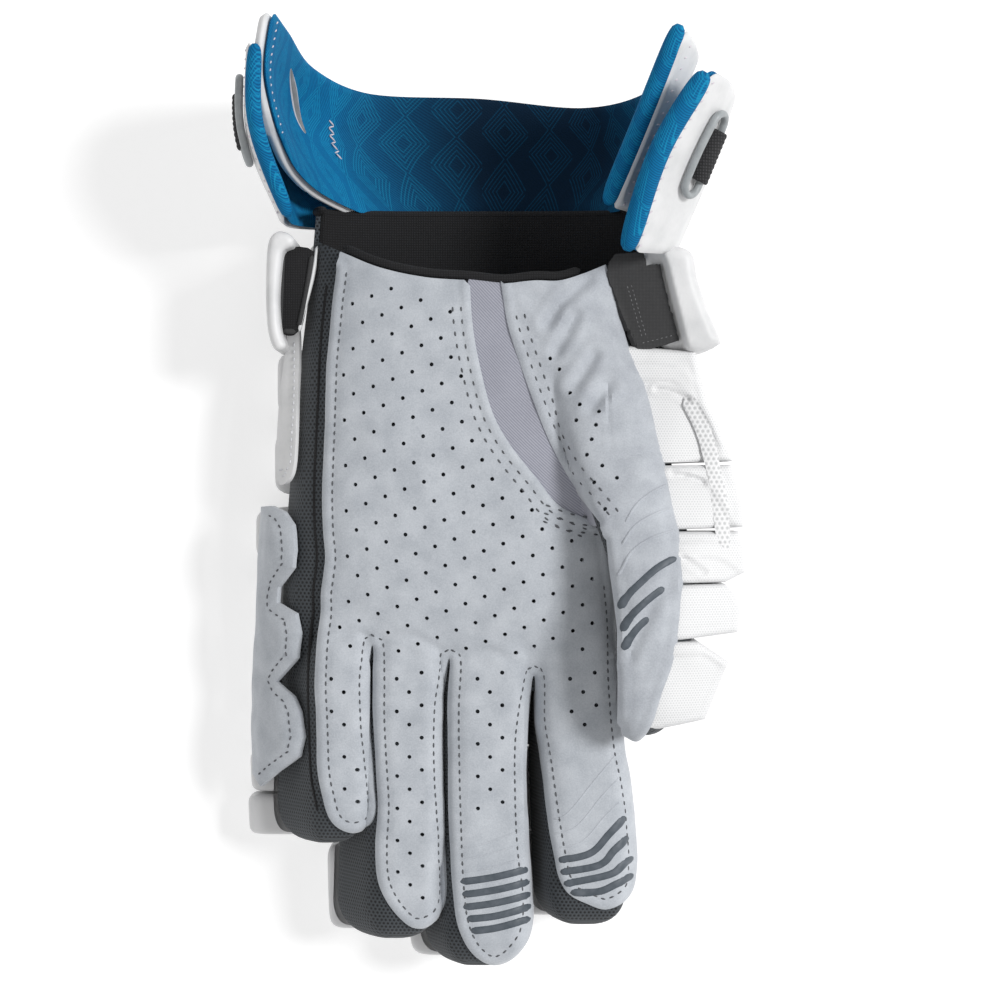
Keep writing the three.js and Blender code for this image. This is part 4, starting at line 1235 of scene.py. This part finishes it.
def loaf(outline, top, bottom, round_over, relief=None):
    """Pad with a flat outline seen from above, a top given by a function and rounded upper edges."""
    def lift(flat):
        distance = distance_to_path(flat[:, :2], outline)
        drop_over = round_over - np.sqrt(np.maximum(round_over**2 - np.maximum(round_over - distance, 0) ** 2, 0))
        heights = top(flat[:, :2]) - drop_over
        if relief:
            heights += relief(flat[:, :2], distance)
        flat[:, 2] = np.where(flat[:, 2] > 0.5 * MM, heights, bottom + drop_over * 0.6)
        return flat
    return reshape(grid_slab("pad", outline, PAD_CELL), lift)


ROLL_REACH = 8 * MM


def roll_edges(i, y):
    """Left and right edge of the foam behind one finger at a place along Y."""
    edges = [finger_row(finger, WRIST_Y - y)[3:5] for finger in FINGERS.values()]
    left = edges[0][0] - ROLL_REACH if i == 0 else (edges[i][0] + edges[i - 1][1]) / 2 + PAD_GAP / 2
    right = edges[3][1] + PAD_WRAP if i == 3 else (edges[i][1] + edges[i + 1][0]) / 2 - PAD_GAP / 2
    return left, right


def build_rolls():
    for i, (name, count) in enumerate(ROLLS.items()):
        pitch = (FINGERS[name]["reach"] - ROLLS_START) / count
        for k in range(count):
            start, end = WRIST_Y - ROLLS_START - k * pitch, WRIST_Y - ROLLS_START - (k + 1) * pitch + PAD_GAP
            finish_pad(foam_block(*((y, *roll_edges(i, y)) for y in (start, end))), f"{name}_roll_{k + 1}")
    for k, (start, end, left, right) in enumerate(BACK_PADS):
        ends = [(along(share), across(left), across(right)) for share in (start, end)]
        finish_pad(foam_block(*ends), f"back_pad_{k + 1}")
    low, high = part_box("wrist_pad")
    finish_pad(foam_block((high.y, low.x, high.x), (low.y, low.x, high.x)), "wrist_pad")


def along_edge(path, y):
    """Place across of an edge that runs along Y."""
    order = np.argsort(path[:, 1])
    return np.interp(y, path[order, 1], path[order, 0])


def guard_top(outer_top):
    """Top of the guard: level with the thumb leather at its edge, and falling towards the outer edge."""
    outer = plan(GUARD_OUTER)

    def top(points):
        start, end = along_edge(thumb_outer, points[:, 1]), along_edge(outer, points[:, 1])
        share = np.clip((points[:, 0] - start) / np.maximum(end - start, MM), 0, 1)
        high = thumb.at(np.column_stack([start - 1 * MM, points[:, 1]])) + 0.8 * MM
        return high + (deep(outer_top) - high) * share ** 1.5
    return top


def guard_relief(points, distance=None):
    rise = wrinkles(points, 12 * MM, 0.5 * MM, seed=7) + creases(points, GUARD_FOLDS, 0.9 * MM, 1.0 * MM)
    for ridge in GUARD_RIDGES:
        share = np.clip(RIDGE_HALF - distance_to_path(points, curve_through(plan(ridge), 6), False), 0, MM) / MM
        rise += RIDGE_RISE * ease(share)
    return rise if distance is None else rise + groove(distance, 3.2 * MM, 0.7 * MM, 0.3 * MM)


def dense_path(outline, count=12):
    return np.vstack([a + (b - a) * np.linspace(0, 1, count, endpoint=False)[:, None]
                      for a, b in zip(outline, np.roll(outline, -1, axis=0))])


def build_guard():
    for k, (corners, top, bottom) in enumerate(THUMB_GUARD):
        block = loaf(dense_path(plan(corners)), guard_top(top), deep(bottom), 2.6 * MM, guard_relief)
        finish_pad(block, f"thumb_guard_{k + 1}", guard_cloth, snug_form)
    surface = Height(guard_top(1.08))
    ribbons("guard_net", [plan(GUARD_NET)], 5.5 * MM, 0.4 * MM, surface, white_net, "white_leather", off=0.25 * MM,
            relief=guard_relief)


BLOCK_DIP = 4 * MM
BLOCK_RISE = 6.5 * MM


def right_block_top(points):
    rise = np.clip((points[:, 0] - along_edge(plan(RIGHT_BLOCK_LEFT), points[:, 1])) / (2.5 * MM), 0, 1)
    return WRIST_PAD_HEIGHT - BLOCK_DIP + BLOCK_RISE * ease(rise)


def left_block_top(points):
    return np.full(len(points), WRIST_PAD_HEIGHT - 1 * MM)


def build_wrist_pads():
    for side_name, corners, top, round_over in (("right", RIGHT_WRIST_PAD, right_block_top, 4 * MM),
                                                ("left", LEFT_WRIST_PAD, left_block_top, 2.5 * MM)):
        outline = curve_through(plan(corners), 6, closed=True)
        finish_pad(loaf(outline, top, PAD_DEPTH + PAD_WRAP + PAD_GAP, round_over), f"{side_name}_wrist_roll")


# Pieces along the little-finger side, the wrist notch and the strap patch
SIDE_PANEL = [(297, 326), (299, 360), (298, 392), (297, 440), (295, 467), (290, 480), (281, 485), (277, 474),
              (276, 459), (279, 400), (285, 348), (288, 332)]
STRAP_PATCH = [(605, 277), (608, 263), (614, 255), (643, 253), (646, 266), (659, 265), (668, 304), (678, 341),
               (652, 349), (634, 353), (620, 320)]
SCALLOPS = [(272, 506), (285, 512), (294, 525), (297, 551), (295, 568), (278, 588), (277, 604), (297, 614),
            (301, 634), (298, 659), (276, 684), (294, 698), (301, 713), (305, 738), (300, 758), (278, 775), (254, 796)]
SCALLOP_OUTER = [(250, 780), (249, 719), (251, 667), (255, 601), (257, 560), (260, 507)]
SCALLOP_NOTCHES = (500, 588, 684, 800)
SIDE_INNER = 304
SIDE_OUTER = 248
NOTCH = [(281, 250), (312, 250), (305, 290), (296, 331), (278, 329), (279, 290)]
NOTCH_LEFT = [(281, 251), (279, 290), (278, 328)]
NOTCH_RIGHT = [(311, 252), (305, 290), (297, 328)]
NOTCH_END = [(279, 330), (296, 331)]
PIPING = [(316, 243), (311, 275), (303, 306), (297, 332)]


def side_slope(points):
    """Slope from the palm's little-finger side down to the outer edge of the foam."""
    inner, outer = plan([(SIDE_INNER, 0)])[0, 0], plan([(SIDE_OUTER, 0)])[0, 0]
    high = palm.at(np.column_stack([np.full(len(points), inner), points[:, 1]])) + 1 * MM
    low = PAD_DEPTH + PAD_WRAP + 3 * MM
    share = np.clip((points[:, 0] - outer) / (inner - outer), 0, 1.2)
    return np.maximum(low + (high - low) * share ** 0.75, palm.at(points) + 0.4 * MM)


side = Height(side_slope)
notch_floor = Height(lambda points: np.maximum(palm.at(points) + 0.3 * MM, deep(0.68)))
patch_floor = Height(lambda points: np.maximum(thumb.at(points) + LEATHER + SEAT, WRIST_PAD_HEIGHT - 3.4 * MM))


EDGE_DIP = 0.3 * MM


def edge_dip(outline):
    def relief(points):
        distance = distance_to_path(points, outline)
        return groove(distance, 3 * MM, 0.8 * MM, EDGE_DIP) - EDGE_DIP * np.exp(-distance / MM)
    return relief


SCALLOP_RISE = 2.6 * MM


def scallop_relief(outline):
    dip = edge_dip(outline)
    limits = [plan([(0, notch)])[0, 1] for notch in SCALLOP_NOTCHES]

    def relief(points):
        rise = dip(points) + wrinkles(points, 9 * MM, 0.4 * MM, seed=6)
        fade = np.clip(distance_to_path(points, outline) / (7 * MM), 0, 1)
        for start, end in zip(limits, limits[1:]):
            share = np.clip((start - points[:, 1]) / (start - end), 0, 1)
            rise += SCALLOP_RISE * np.sin(share * math.pi) * fade * (2 - fade)
        return rise
    return relief


def build_side_pieces():
    outline = curve_through(plan(SIDE_PANEL), 6, closed=True)
    relief = edge_dip(outline)
    piece = sheet_panel("side_panel", outline, side, relief, thickness=1.6 * MM)
    finish_piece(piece, "side_panel_leather", white_leather, ["side_panel"])
    row = [(294, 340), (295, 392), (293, 440), (291, 466), (281, 470), (289, 474), (281, 477)]
    stitch_rows("side_panel_stitches", [curve_through(plan(row), 4)], side, pale_thread, 2.6 * MM,
                1.9 * MM, relief=relief)
    outline = np.vstack([dense_path(plan(SCALLOPS), 5)[:-5], curve_through(plan(SCALLOP_OUTER), 4)])
    relief = scallop_relief(outline)
    piece = sheet_panel("side_leather", outline, side, relief, thickness=1.8 * MM)
    finish_piece(piece, "side_leather_skin", suede, ["side_leather"])
    rows = inset(outline, 3.2 * MM)[:len(SCALLOPS) * 5 - 6]
    stitch_rows("side_leather_stitches", [rows], side, dark_thread, pitch=2.8 * MM, off=2.1 * MM, relief=relief)
    outline = dense_path(plan(STRAP_PATCH), 10)
    ragged = [noise.noise(Vector((x * 900, y * 900, 1))) * 0.5 * MM for x, y in outline]
    outline = outline + np.array(ragged)[:, None]
    relief = edge_dip(outline)
    piece = sheet_panel("patch", outline, patch_floor, relief, thickness=1.8 * MM, off=0.2 * MM)
    finish_piece(piece, "strap_patch_weave", charcoal, ["strap_patch"])
    rows = [plan([(626, 286), (641, 338)]), plan([(630, 285), (645, 337)]), plan([(640, 344), (672, 336)])]
    stitch_rows("strap_patch_stitches", rows, patch_floor, faint_thread, 1.6 * MM, 2.0 * MM,
                length=0.9 * MM, thick=0.35 * MM, relief=relief)
    piece = sheet_panel("notch", curve_through(plan(NOTCH), 4, closed=True), notch_floor, no_relief, thickness=1 * MM)
    finish_piece(piece, "wrist_notch_cloth", black_knit, ["wrist_tab"])
    edges = [plan(edge) for edge in (NOTCH_LEFT, NOTCH_RIGHT, NOTCH_END)]
    ribbons("wrist_notch_edging", edges, 2.2 * MM, 1.2 * MM, notch_floor, charcoal, "charcoal", off=1.3 * MM)
    ribbons("wrist_piping", [plan(PIPING)], 1.5 * MM, 1.3 * MM, notch_floor, white_leather, "white_leather",
            off=1.0 * MM)


# Cuff: curved sheets through ribs, each rib given across, along and up at the wrist, middle and forearm
CUFF_REACH = 80 * MM
CUFF_LENGTH = 70 * MM
CUFF_HEIGHT = 85 * MM
CUFF_SEAM = 27 * MM
SHELL = 4 * MM
LINING = 1.5 * MM
FLAP_FOAM = 2.6 * MM
CUFF_RIBS = [
    (-0.97, 0.42, 0.90, -1.01, 0.69, 0.98, -0.98, 0.99, 0.99),
    (-0.89, 0.22, 0.64, -0.99, 0.61, 0.68, -0.93, 0.93, 0.71),
    (-0.73, 0.10, 0.33, -0.91, 0.51, 0.31, -0.84, 0.81, 0.35),
    (-0.45, 0.00, 0.17, -0.64, 0.40, 0.08, -0.61, 0.72, 0.08),
    (-0.06, -0.04, 0.15, -0.06, 0.37, 0.06, -0.06, 0.69, 0.06),
    (0.35, -0.02, 0.16, 0.45, 0.34, 0.08, 0.42, 0.64, 0.08),
    (0.55, 0.00, 0.31, 0.72, 0.37, 0.28, 0.69, 0.68, 0.31),
    (0.58, 0.04, 0.52, 0.73, 0.44, 0.61, 0.87, 0.83, 0.68),
    (0.50, 0.05, 0.72, 0.66, 0.49, 0.88, 0.81, 0.92, 0.98),
]
LEFT_FLAP_RIBS = [
    (-0.92, -0.02, 0.80, -1.05, 0.44, 1.00, -1.05, 0.84, 1.02),
    (-0.93, -0.03, 0.64, -1.07, 0.40, 0.78, -1.07, 0.80, 0.80),
    (-0.92, -0.03, 0.46, -1.07, 0.38, 0.52, -1.07, 0.74, 0.52),
    (-0.86, -0.02, 0.26, -1.00, 0.36, 0.26, -1.00, 0.68, 0.28),
    (-0.62, -0.02, 0.10, -0.80, 0.34, 0.10, -0.80, 0.62, 0.10),
]
RIGHT_FLAP_RIBS = [
    (0.60, -0.10, 0.12, 0.70, 0.24, 0.10, 0.66, 0.50, 0.10),
    (0.76, -0.14, 0.30, 0.88, 0.22, 0.30, 0.92, 0.54, 0.30),
    (0.79, -0.17, 0.47, 0.93, 0.21, 0.49, 1.04, 0.60, 0.54),
    (0.73, -0.19, 0.70, 0.88, 0.23, 0.78, 1.03, 0.65, 0.82),
    (0.58, -0.20, 0.87, 0.72, 0.29, 1.01, 0.93, 0.69, 1.05),
]


def on_curve(points, t):
    """Place on a centripetal Catmull-Rom curve, t from 0 to 1."""
    spot = clamp(t) * (len(points) - 1)
    k = min(int(spot), len(points) - 2)
    share = spot - k
    p1, p2 = points[k], points[k + 1]
    p0 = points[k - 1] if k else 2 * p1 - p2
    p3 = points[k + 2] if k + 2 < len(points) else 2 * p2 - p1
    gaps = [math.sqrt(np.linalg.norm(b - a)) for a, b in ((p0, p1), (p1, p2), (p2, p3))]
    out = ((p1 - p0) / gaps[0] - (p2 - p0) / (gaps[0] + gaps[1]) + (p2 - p1) / gaps[1]) * gaps[1]
    back = ((p2 - p1) / gaps[1] - (p3 - p1) / (gaps[1] + gaps[2]) + (p3 - p2) / gaps[2]) * gaps[1]
    s2, s3 = share**2, share**3
    return ((2 * s3 - 3 * s2 + 1) * p1 + (s3 - 2 * s2 + share) * out + (3 * s2 - 2 * s3) * p2 + (s3 - s2) * back)


class RibSurface:
    """Surface across ribs; its hollow side is against its normal."""

    def __init__(self, ribs):
        origin = np.array([MIDDLE_X, WRIST_Y + CUFF_SEAM, 0])
        size = np.array([CUFF_REACH, CUFF_LENGTH, CUFF_HEIGHT])
        self.curves = [[origin + np.array(rib[first:first + 3]) * size for rib in ribs] for first in (0, 3, 6)]
        self.wide = self.length([self.point(u, 0.5) for u in np.linspace(0, 1, 40)])
        self.long = self.length([self.point(0.5, v) for v in np.linspace(0, 1, 20)])

    @staticmethod
    def length(points):
        return float(np.sum(np.linalg.norm(np.diff(np.array(points), axis=0), axis=1)))

    def point(self, u, v):
        return on_curve([on_curve(curve, u) for curve in self.curves], v)

    def normal(self, u, v):
        step = 0.01
        along_u = self.point(min(u + step, 1), v) - self.point(max(u - step, 0), v)
        along_v = self.point(u, min(v + step, 1)) - self.point(u, max(v - step, 0))
        normal = np.cross(along_v, along_u)
        return normal / np.linalg.norm(normal)

    def find(self, target, low=0.0, high=1.0):
        """Shares of the surface nearest to a place, which may be given in the plane alone."""
        target = np.asarray(target)
        places = [(u, v) for u in np.linspace(low, high, 50) for v in np.linspace(0.01, 0.99, 40)]
        gaps = [np.linalg.norm(self.point(u, v)[:len(target)] - target) for u, v in places]
        return places[int(np.argmin(gaps))]

    def off(self, u, v, distance):
        """Place off the surface; below 0 on its hollow side."""
        return self.point(u, v) + self.normal(u, v) * distance


def round_corner(p, q, wide, long, radius):
    """Place in a rectangle moved so that its corners are round."""
    x, y = abs(p) - (wide / 2 - radius), abs(q) - (long / 2 - radius)
    if x <= 0 or y <= 0:
        return p, q
    reach, turn = max(x, y), math.atan2(y, x)
    return (math.copysign(wide / 2 - radius + reach * math.cos(turn), p),
            math.copysign(long / 2 - radius + reach * math.sin(turn), q))


SHEET_CELL = 1.5 * MM
SHEET_CORNER = 7 * MM


def cloth_sheet(name, surface, near, far, edge=1.2 * MM, relief=None):
    """Padded sheet between two distances on the hollow side of a surface, with round edges and cloth coordinates."""
    wide, long = surface.wide, surface.long
    counts = [int(wide / SHEET_CELL), int(long / SHEET_CELL)]
    bm = bmesh.new()
    bmesh.ops.create_grid(bm, x_segments=counts[0], y_segments=counts[1], size=0.5)

    def rounded(vert):
        return round_corner(vert.co.x * wide, vert.co.y * long, wide, long, SHEET_CORNER)

    def key(vert):
        return round(vert.co.x * counts[0] * 2), round(vert.co.y * counts[1] * 2)

    uv_layer = bm.loops.layers.uv.new("cloth")
    for face in bm.faces:
        for loop in face.loops:
            loop[uv_layer].uv = rounded(loop.vert)
    upper = thicken(bm)
    taken = set(upper)
    lower = {key(vert): vert for vert in bm.verts if vert not in taken}
    for vert in upper:
        twin = lower[key(vert)]
        p, q = rounded(twin)
        u, v = p / wide + 0.5, q / long + 0.5
        point, normal = surface.point(u, v), surface.normal(u, v)
        from_edge = min(wide / 2 - abs(twin.co.x * wide), long / 2 - abs(twin.co.y * long))
        share = min(from_edge / edge, 1)
        full = math.sqrt(max(1 - (1 - share) ** 2, 0)) * 0.85 + 0.15
        middle, half = (near + far) / 2, (far - near) / 2 * full
        rise = relief(p, q, wide, long) if relief else 0
        twin.co = point - normal * (middle - half - rise)
        vert.co = point - normal * (middle + half)
    bmesh.ops.recalc_face_normals(bm, faces=bm.faces)
    return from_bmesh(name, bm)


def tube(bm, path, radii, sides=16, squash=1.0, normals=None):
    """Closed round cord on a path, with a radius at each point; squash flattens it along the normals."""
    path = np.asarray(path)
    rings = len(path) + 1
    made = bmesh.ops.create_uvsphere(bm, u_segments=sides, v_segments=rings, radius=1)
    tangents = np.gradient(path, axis=0)
    for vert in made["verts"]:
        ring = ring_of(vert, rings)
        k = clamp(ring - 1, 0, len(path) - 1)
        tangent = tangents[k] / np.linalg.norm(tangents[k])
        normal = normals[k] if normals is not None else np.array([0, 0, 1])
        normal = normal - tangent * np.dot(normal, tangent)
        normal /= np.linalg.norm(normal)
        side = np.cross(tangent, normal)
        reach = 0 if ring in (0, rings) else radii[k]
        angle = math.atan2(vert.co.y, vert.co.x)
        vert.co = path[k] + side * math.cos(angle) * reach + normal * math.sin(angle) * reach * squash
    bmesh.ops.recalc_face_normals(bm, faces=bm.faces)


LOOP_SIDES = 12


def closed_tube(bm, path, normal, radius, squash):
    """Ring of round section on a closed flat path."""
    count = len(path)
    made = bmesh.ops.create_grid(bm, x_segments=count, y_segments=LOOP_SIDES, size=0.5)
    tangents = np.roll(path, -1, axis=0) - np.roll(path, 1, axis=0)
    for vert in made["verts"]:
        k = round((vert.co.x + 0.5) * count) % count
        turn = round((vert.co.y + 0.5) * LOOP_SIDES) % LOOP_SIDES / LOOP_SIDES * 2 * math.pi
        tangent = tangents[k] / np.linalg.norm(tangents[k])
        out = np.cross(tangent, normal)
        out /= np.linalg.norm(out)
        vert.co = path[k] + out * math.cos(turn) * radius + normal * math.sin(turn) * radius * squash
    bmesh.ops.remove_doubles(bm, verts=made["verts"], dist=0.001 * MM)
    bmesh.ops.recalc_face_normals(bm, faces=bm.faces)


def cloth_uv(obj):
    """Cloth coordinates of a rolled edge, taken from its place."""
    mesh = obj.data
    layer = mesh.uv_layers.new(name="cloth")
    for loop in mesh.loops:
        x, y, z = mesh.vertices[loop.vertex_index].co
        layer.data[loop.index].uv = (x + z, y)


def ends_round(count, full, tip=0.35):
    shares = np.linspace(0, 1, count)
    return full * (tip + (1 - tip) * np.sqrt(np.clip(1 - (2 * shares - 1) ** 8, 0, 1)))


SHELL_CHANNELS = (-0.30, -0.15, 0.0, 0.15, 0.30)
CHANNEL_DEPTH = 1.3 * MM


def shell_relief(p, q, wide, long):
    """Sewn channels on the outside of the cuff."""
    dip = sum(CHANNEL_DEPTH * math.exp(-((p - channel * wide) / (2 * MM)) ** 2) for channel in SHELL_CHANNELS)
    return -dip * min(1, (long / 2 - abs(q)) / (6 * MM))


LOOP_LENGTH = 30 * MM
LOOP_WIDTH = 11 * MM
LOOP_BAR = 1.3 * MM
LOOP_STEPS = 48
WEBBING_LONG = 17 * MM
WEBBING_WIDE = 9 * MM
WEBBING_RIB = 1.7 * MM
WEBBING_ARCH = 3.4 * MM


def build_fastener(side, surface):
    """Oval plastic loop on the outside of a flap, with a strap of ribbed webbing through it."""
    low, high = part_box(f"{side}_loop")
    u, v = surface.find(np.array((low + high) / 2))
    outward = -1 if side == "right" else 1
    foam = FLAP_FOAM + 0.3 * MM

    def spot(a, b, up):
        return surface.off(u + b / surface.wide, v + a / surface.long, foam + up)

    straight = (LOOP_LENGTH - LOOP_WIDTH) / 2
    reach = LOOP_WIDTH / 2 - LOOP_BAR
    ring = []
    for k in range(LOOP_STEPS):
        turn = 2 * math.pi * k / LOOP_STEPS
        shift = math.copysign(min(abs(math.cos(turn)) * 3, 1), math.cos(turn)) * straight
        ring.append(spot(shift + reach * math.cos(turn), reach * math.sin(turn), 1.5 * MM))
    bm = bmesh.new()
    closed_tube(bm, np.array(ring), surface.normal(u, v), LOOP_BAR, 1.1)
    finish_piece(from_bmesh("loop", bm), f"{side}_oval_loop", grey_plastic, [f"{side}_loop"], sharp=60)
    bm = bmesh.new()
    bmesh.ops.create_grid(bm, x_segments=44, y_segments=16, size=0.5)
    upper = set(thicken(bm))
    for vert in bm.verts:
        x, y, _ = vert.co
        a, b = x * WEBBING_LONG, outward * (y + 0.45) * WEBBING_WIDE
        arch = WEBBING_ARCH * math.sin(math.pi * clamp(y + 0.5)) ** 0.6
        rib = 0.3 * MM * abs(math.sin(math.pi * a / WEBBING_RIB)) if vert in upper else -1.1 * MM
        vert.co = spot(a, b, max(arch + rib, 0.1 * MM if vert in upper else 0.0) + 0.3 * MM)
    bmesh.ops.recalc_face_normals(bm, faces=bm.faces)
    finish_piece(from_bmesh("webbing", bm), f"{side}_ribbed_webbing", webbing_cloth, [f"{side}_webbing"])


EDGE_ENDS = (0.04, 0.94)


def edge_stitches(name, surface, u, off, turn):
    """Slanted stitches along an edge of a curved sheet."""
    bm = bmesh.new()
    count = int(surface.long * (EDGE_ENDS[1] - EDGE_ENDS[0]) / STITCH_PITCH)
    for v in np.linspace(*EDGE_ENDS, count):
        here = surface.off(u, v, off)
        forward = surface.off(u, min(v + 0.01, 1), off) - here
        across_way = surface.off(u + (0.01 if u < 0.5 else -0.01), v, off) - here
        way = forward / np.linalg.norm(forward) * turn + across_way / np.linalg.norm(across_way)
        add_stitch(bm, Vector(here), Vector(way).normalized(), Vector(surface.normal(u, v)), 2.0 * MM, 0.6 * MM)
    finish_piece(from_bmesh(name, bm), name, blue_thread, sharp=80)


SLIT = [(285, 67), (288, 90), (296, 126)]
BARTACK = [(321, 109), (334, 151)]
BARTACK_TURNS = 9


def build_lining_details(cuff):
    uvs = [cuff.find(spot, 0, 0.4) for spot in plan(SLIT)]
    steps = curve_through(np.array(uvs), 10)
    for name, radius, material, lift in (("slit_edge", 2.2 * MM, pale_thread, 0.0),
                                         ("slit", 1.6 * MM, slit_grey, 0.25 * MM)):
        bm = bmesh.new()
        path = np.array([cuff.off(u, v, -LINING - lift) for u, v in steps])
        normals = np.array([cuff.normal(u, v) for u, v in steps])
        shares = np.linspace(0, 1, len(path))
        tube(bm, path, radius * (0.15 + 0.85 * np.sin(shares * math.pi) ** 0.7), squash=0.22, normals=normals)
        finish_piece(from_bmesh(name, bm), f"lining_{name}", material, sharp=80)
    bm = bmesh.new()
    first, last = (np.array(cuff.find(spot, 0, 0.45)) for spot in plan(BARTACK))
    corners = []
    for k in range(BARTACK_TURNS + 1):
        u, v = first + (last - first) * k / BARTACK_TURNS
        corners.append(cuff.off(u + (0.006 if k % 2 else -0.006), v, -LINING - 0.2 * MM))
    for a, b in zip(corners, corners[1:]):
        way = Vector(b - a)
        add_stitch(bm, Vector((a + b) / 2), way.normalized(), Vector(cuff.normal(*first)), way.length, 0.7 * MM)
    finish_piece(from_bmesh("bartack", bm), "lining_bartack", blue_thread, sharp=80)


RIM_ROLLS = {"cuff": 3.4 * MM, "left": 2.8 * MM, "right": 3.9 * MM}


RIM_STEPS = 50


def rim_roll(name, surface, u, end, radius):
    """Rolled edge of a curved sheet, from the wrist on."""
    places = np.linspace(0, end, RIM_STEPS)
    bm = bmesh.new()
    tube(bm, [surface.off(u, v, -0.4 * MM) for v in places], ends_round(RIM_STEPS, radius),
         normals=[surface.normal(u, v) for v in places])
    roll = from_bmesh("rim", bm)
    cloth_uv(roll)
    finish_piece(roll, name, lining_knit, sharp=80)


def build_cuff():
    cuff = RibSurface(CUFF_RIBS)
    lining = cloth_sheet("cuff_lining", cuff, 0, LINING)
    shell = cloth_sheet("cuff_shell", cuff, -SHELL, -0.3 * MM, edge=2 * MM, relief=shell_relief)
    combine(lining, dressed_form, "DIFFERENCE", keep=True)
    combine(shell, dressed_form, "DIFFERENCE", keep=True)
    finish_piece(lining, "cuff_lining_knit", lining_knit, ["cuff_lining"], sharp=60)
    finish_piece(shell, "cuff_shell_foam", white_leather, ["cuff_shell"], sharp=60)
    rim_roll("right_rim_roll", cuff, 0.995, 1.0, RIM_ROLLS["cuff"])
    edge_stitches("right_rim_stitches", cuff, 0.965, SHELL + 0.1 * MM, 0.6)
    edge_stitches("left_rim_stitches", cuff, 0.03, -LINING - 0.1 * MM, 0.8)
    build_lining_details(cuff)
    for side_name, ribs in (("left", LEFT_FLAP_RIBS), ("right", RIGHT_FLAP_RIBS)):
        surface = RibSurface(ribs)
        inner = cloth_sheet("lining", surface, 0, LINING)
        outer = cloth_sheet("foam", surface, -FLAP_FOAM, -0.3 * MM, edge=1.6 * MM)
        finish_piece(inner, f"{side_name}_flap_knit", lining_knit, [f"{side_name}_flap_lining"], sharp=60)
        finish_piece(outer, f"{side_name}_flap_foam", white_leather, [f"{side_name}_flap"], sharp=60)
        rim = 0.005 if side_name == "left" else 0.995
        rim_roll(f"{side_name}_flap_roll", surface, rim, 0.97, RIM_ROLLS[side_name])
        seam = 0.04 if side_name == "left" else 0.96
        edge_stitches(f"{side_name}_flap_stitches", surface, seam, FLAP_FOAM + 0.1 * MM, 0.6)
        build_fastener(side_name, surface)


build_mesh_body()
build_palm()
build_thumb_and_gusset()
build_side_pieces()
build_rolls()
build_guard()
build_wrist_pads()
build_cuff()
build_mouth_binding()
drop(dressed_form)
drop(snug_form)


# Floor and light
def build_stage():
    bm = bmesh.new()
    bmesh.ops.create_grid(bm, x_segments=1, y_segments=1, size=6)
    material, tree = new_material("floor")
    fill_inputs(tree, tree.nodes["Principled BSDF"],
                {"Base Color": (0.62, 0.62, 0.62, 1), "Emission Color": (1, 1, 1, 1), "Emission Strength": 0.5,
                 "Roughness": 0.9})
    floor = from_bmesh("floor", bm, material)
    world = bpy.data.worlds.new("studio")
    bpy.context.scene.world = world
    world.use_nodes = True
    fill_inputs(world.node_tree, world.node_tree.nodes["Background"], {"Color": (1, 1, 1, 1), "Strength": 0.44})
    for name, spot, angle, power in [("key", (0.85, 0.25, 0.9), 16, 2.5), ("fill", (-0.5, -0.5, 1.0), 70, 0.5)]:
        light = bpy.data.lights.new(name, "SUN")
        light.angle = math.radians(angle)
        light.energy = power
        lamp = bpy.data.objects.new(name, light)
        lamp.location = spot
        lamp.rotation_euler = (-Vector(spot)).to_track_quat("-Z", "Y").to_euler()
        bpy.context.collection.objects.link(lamp)


build_stage()
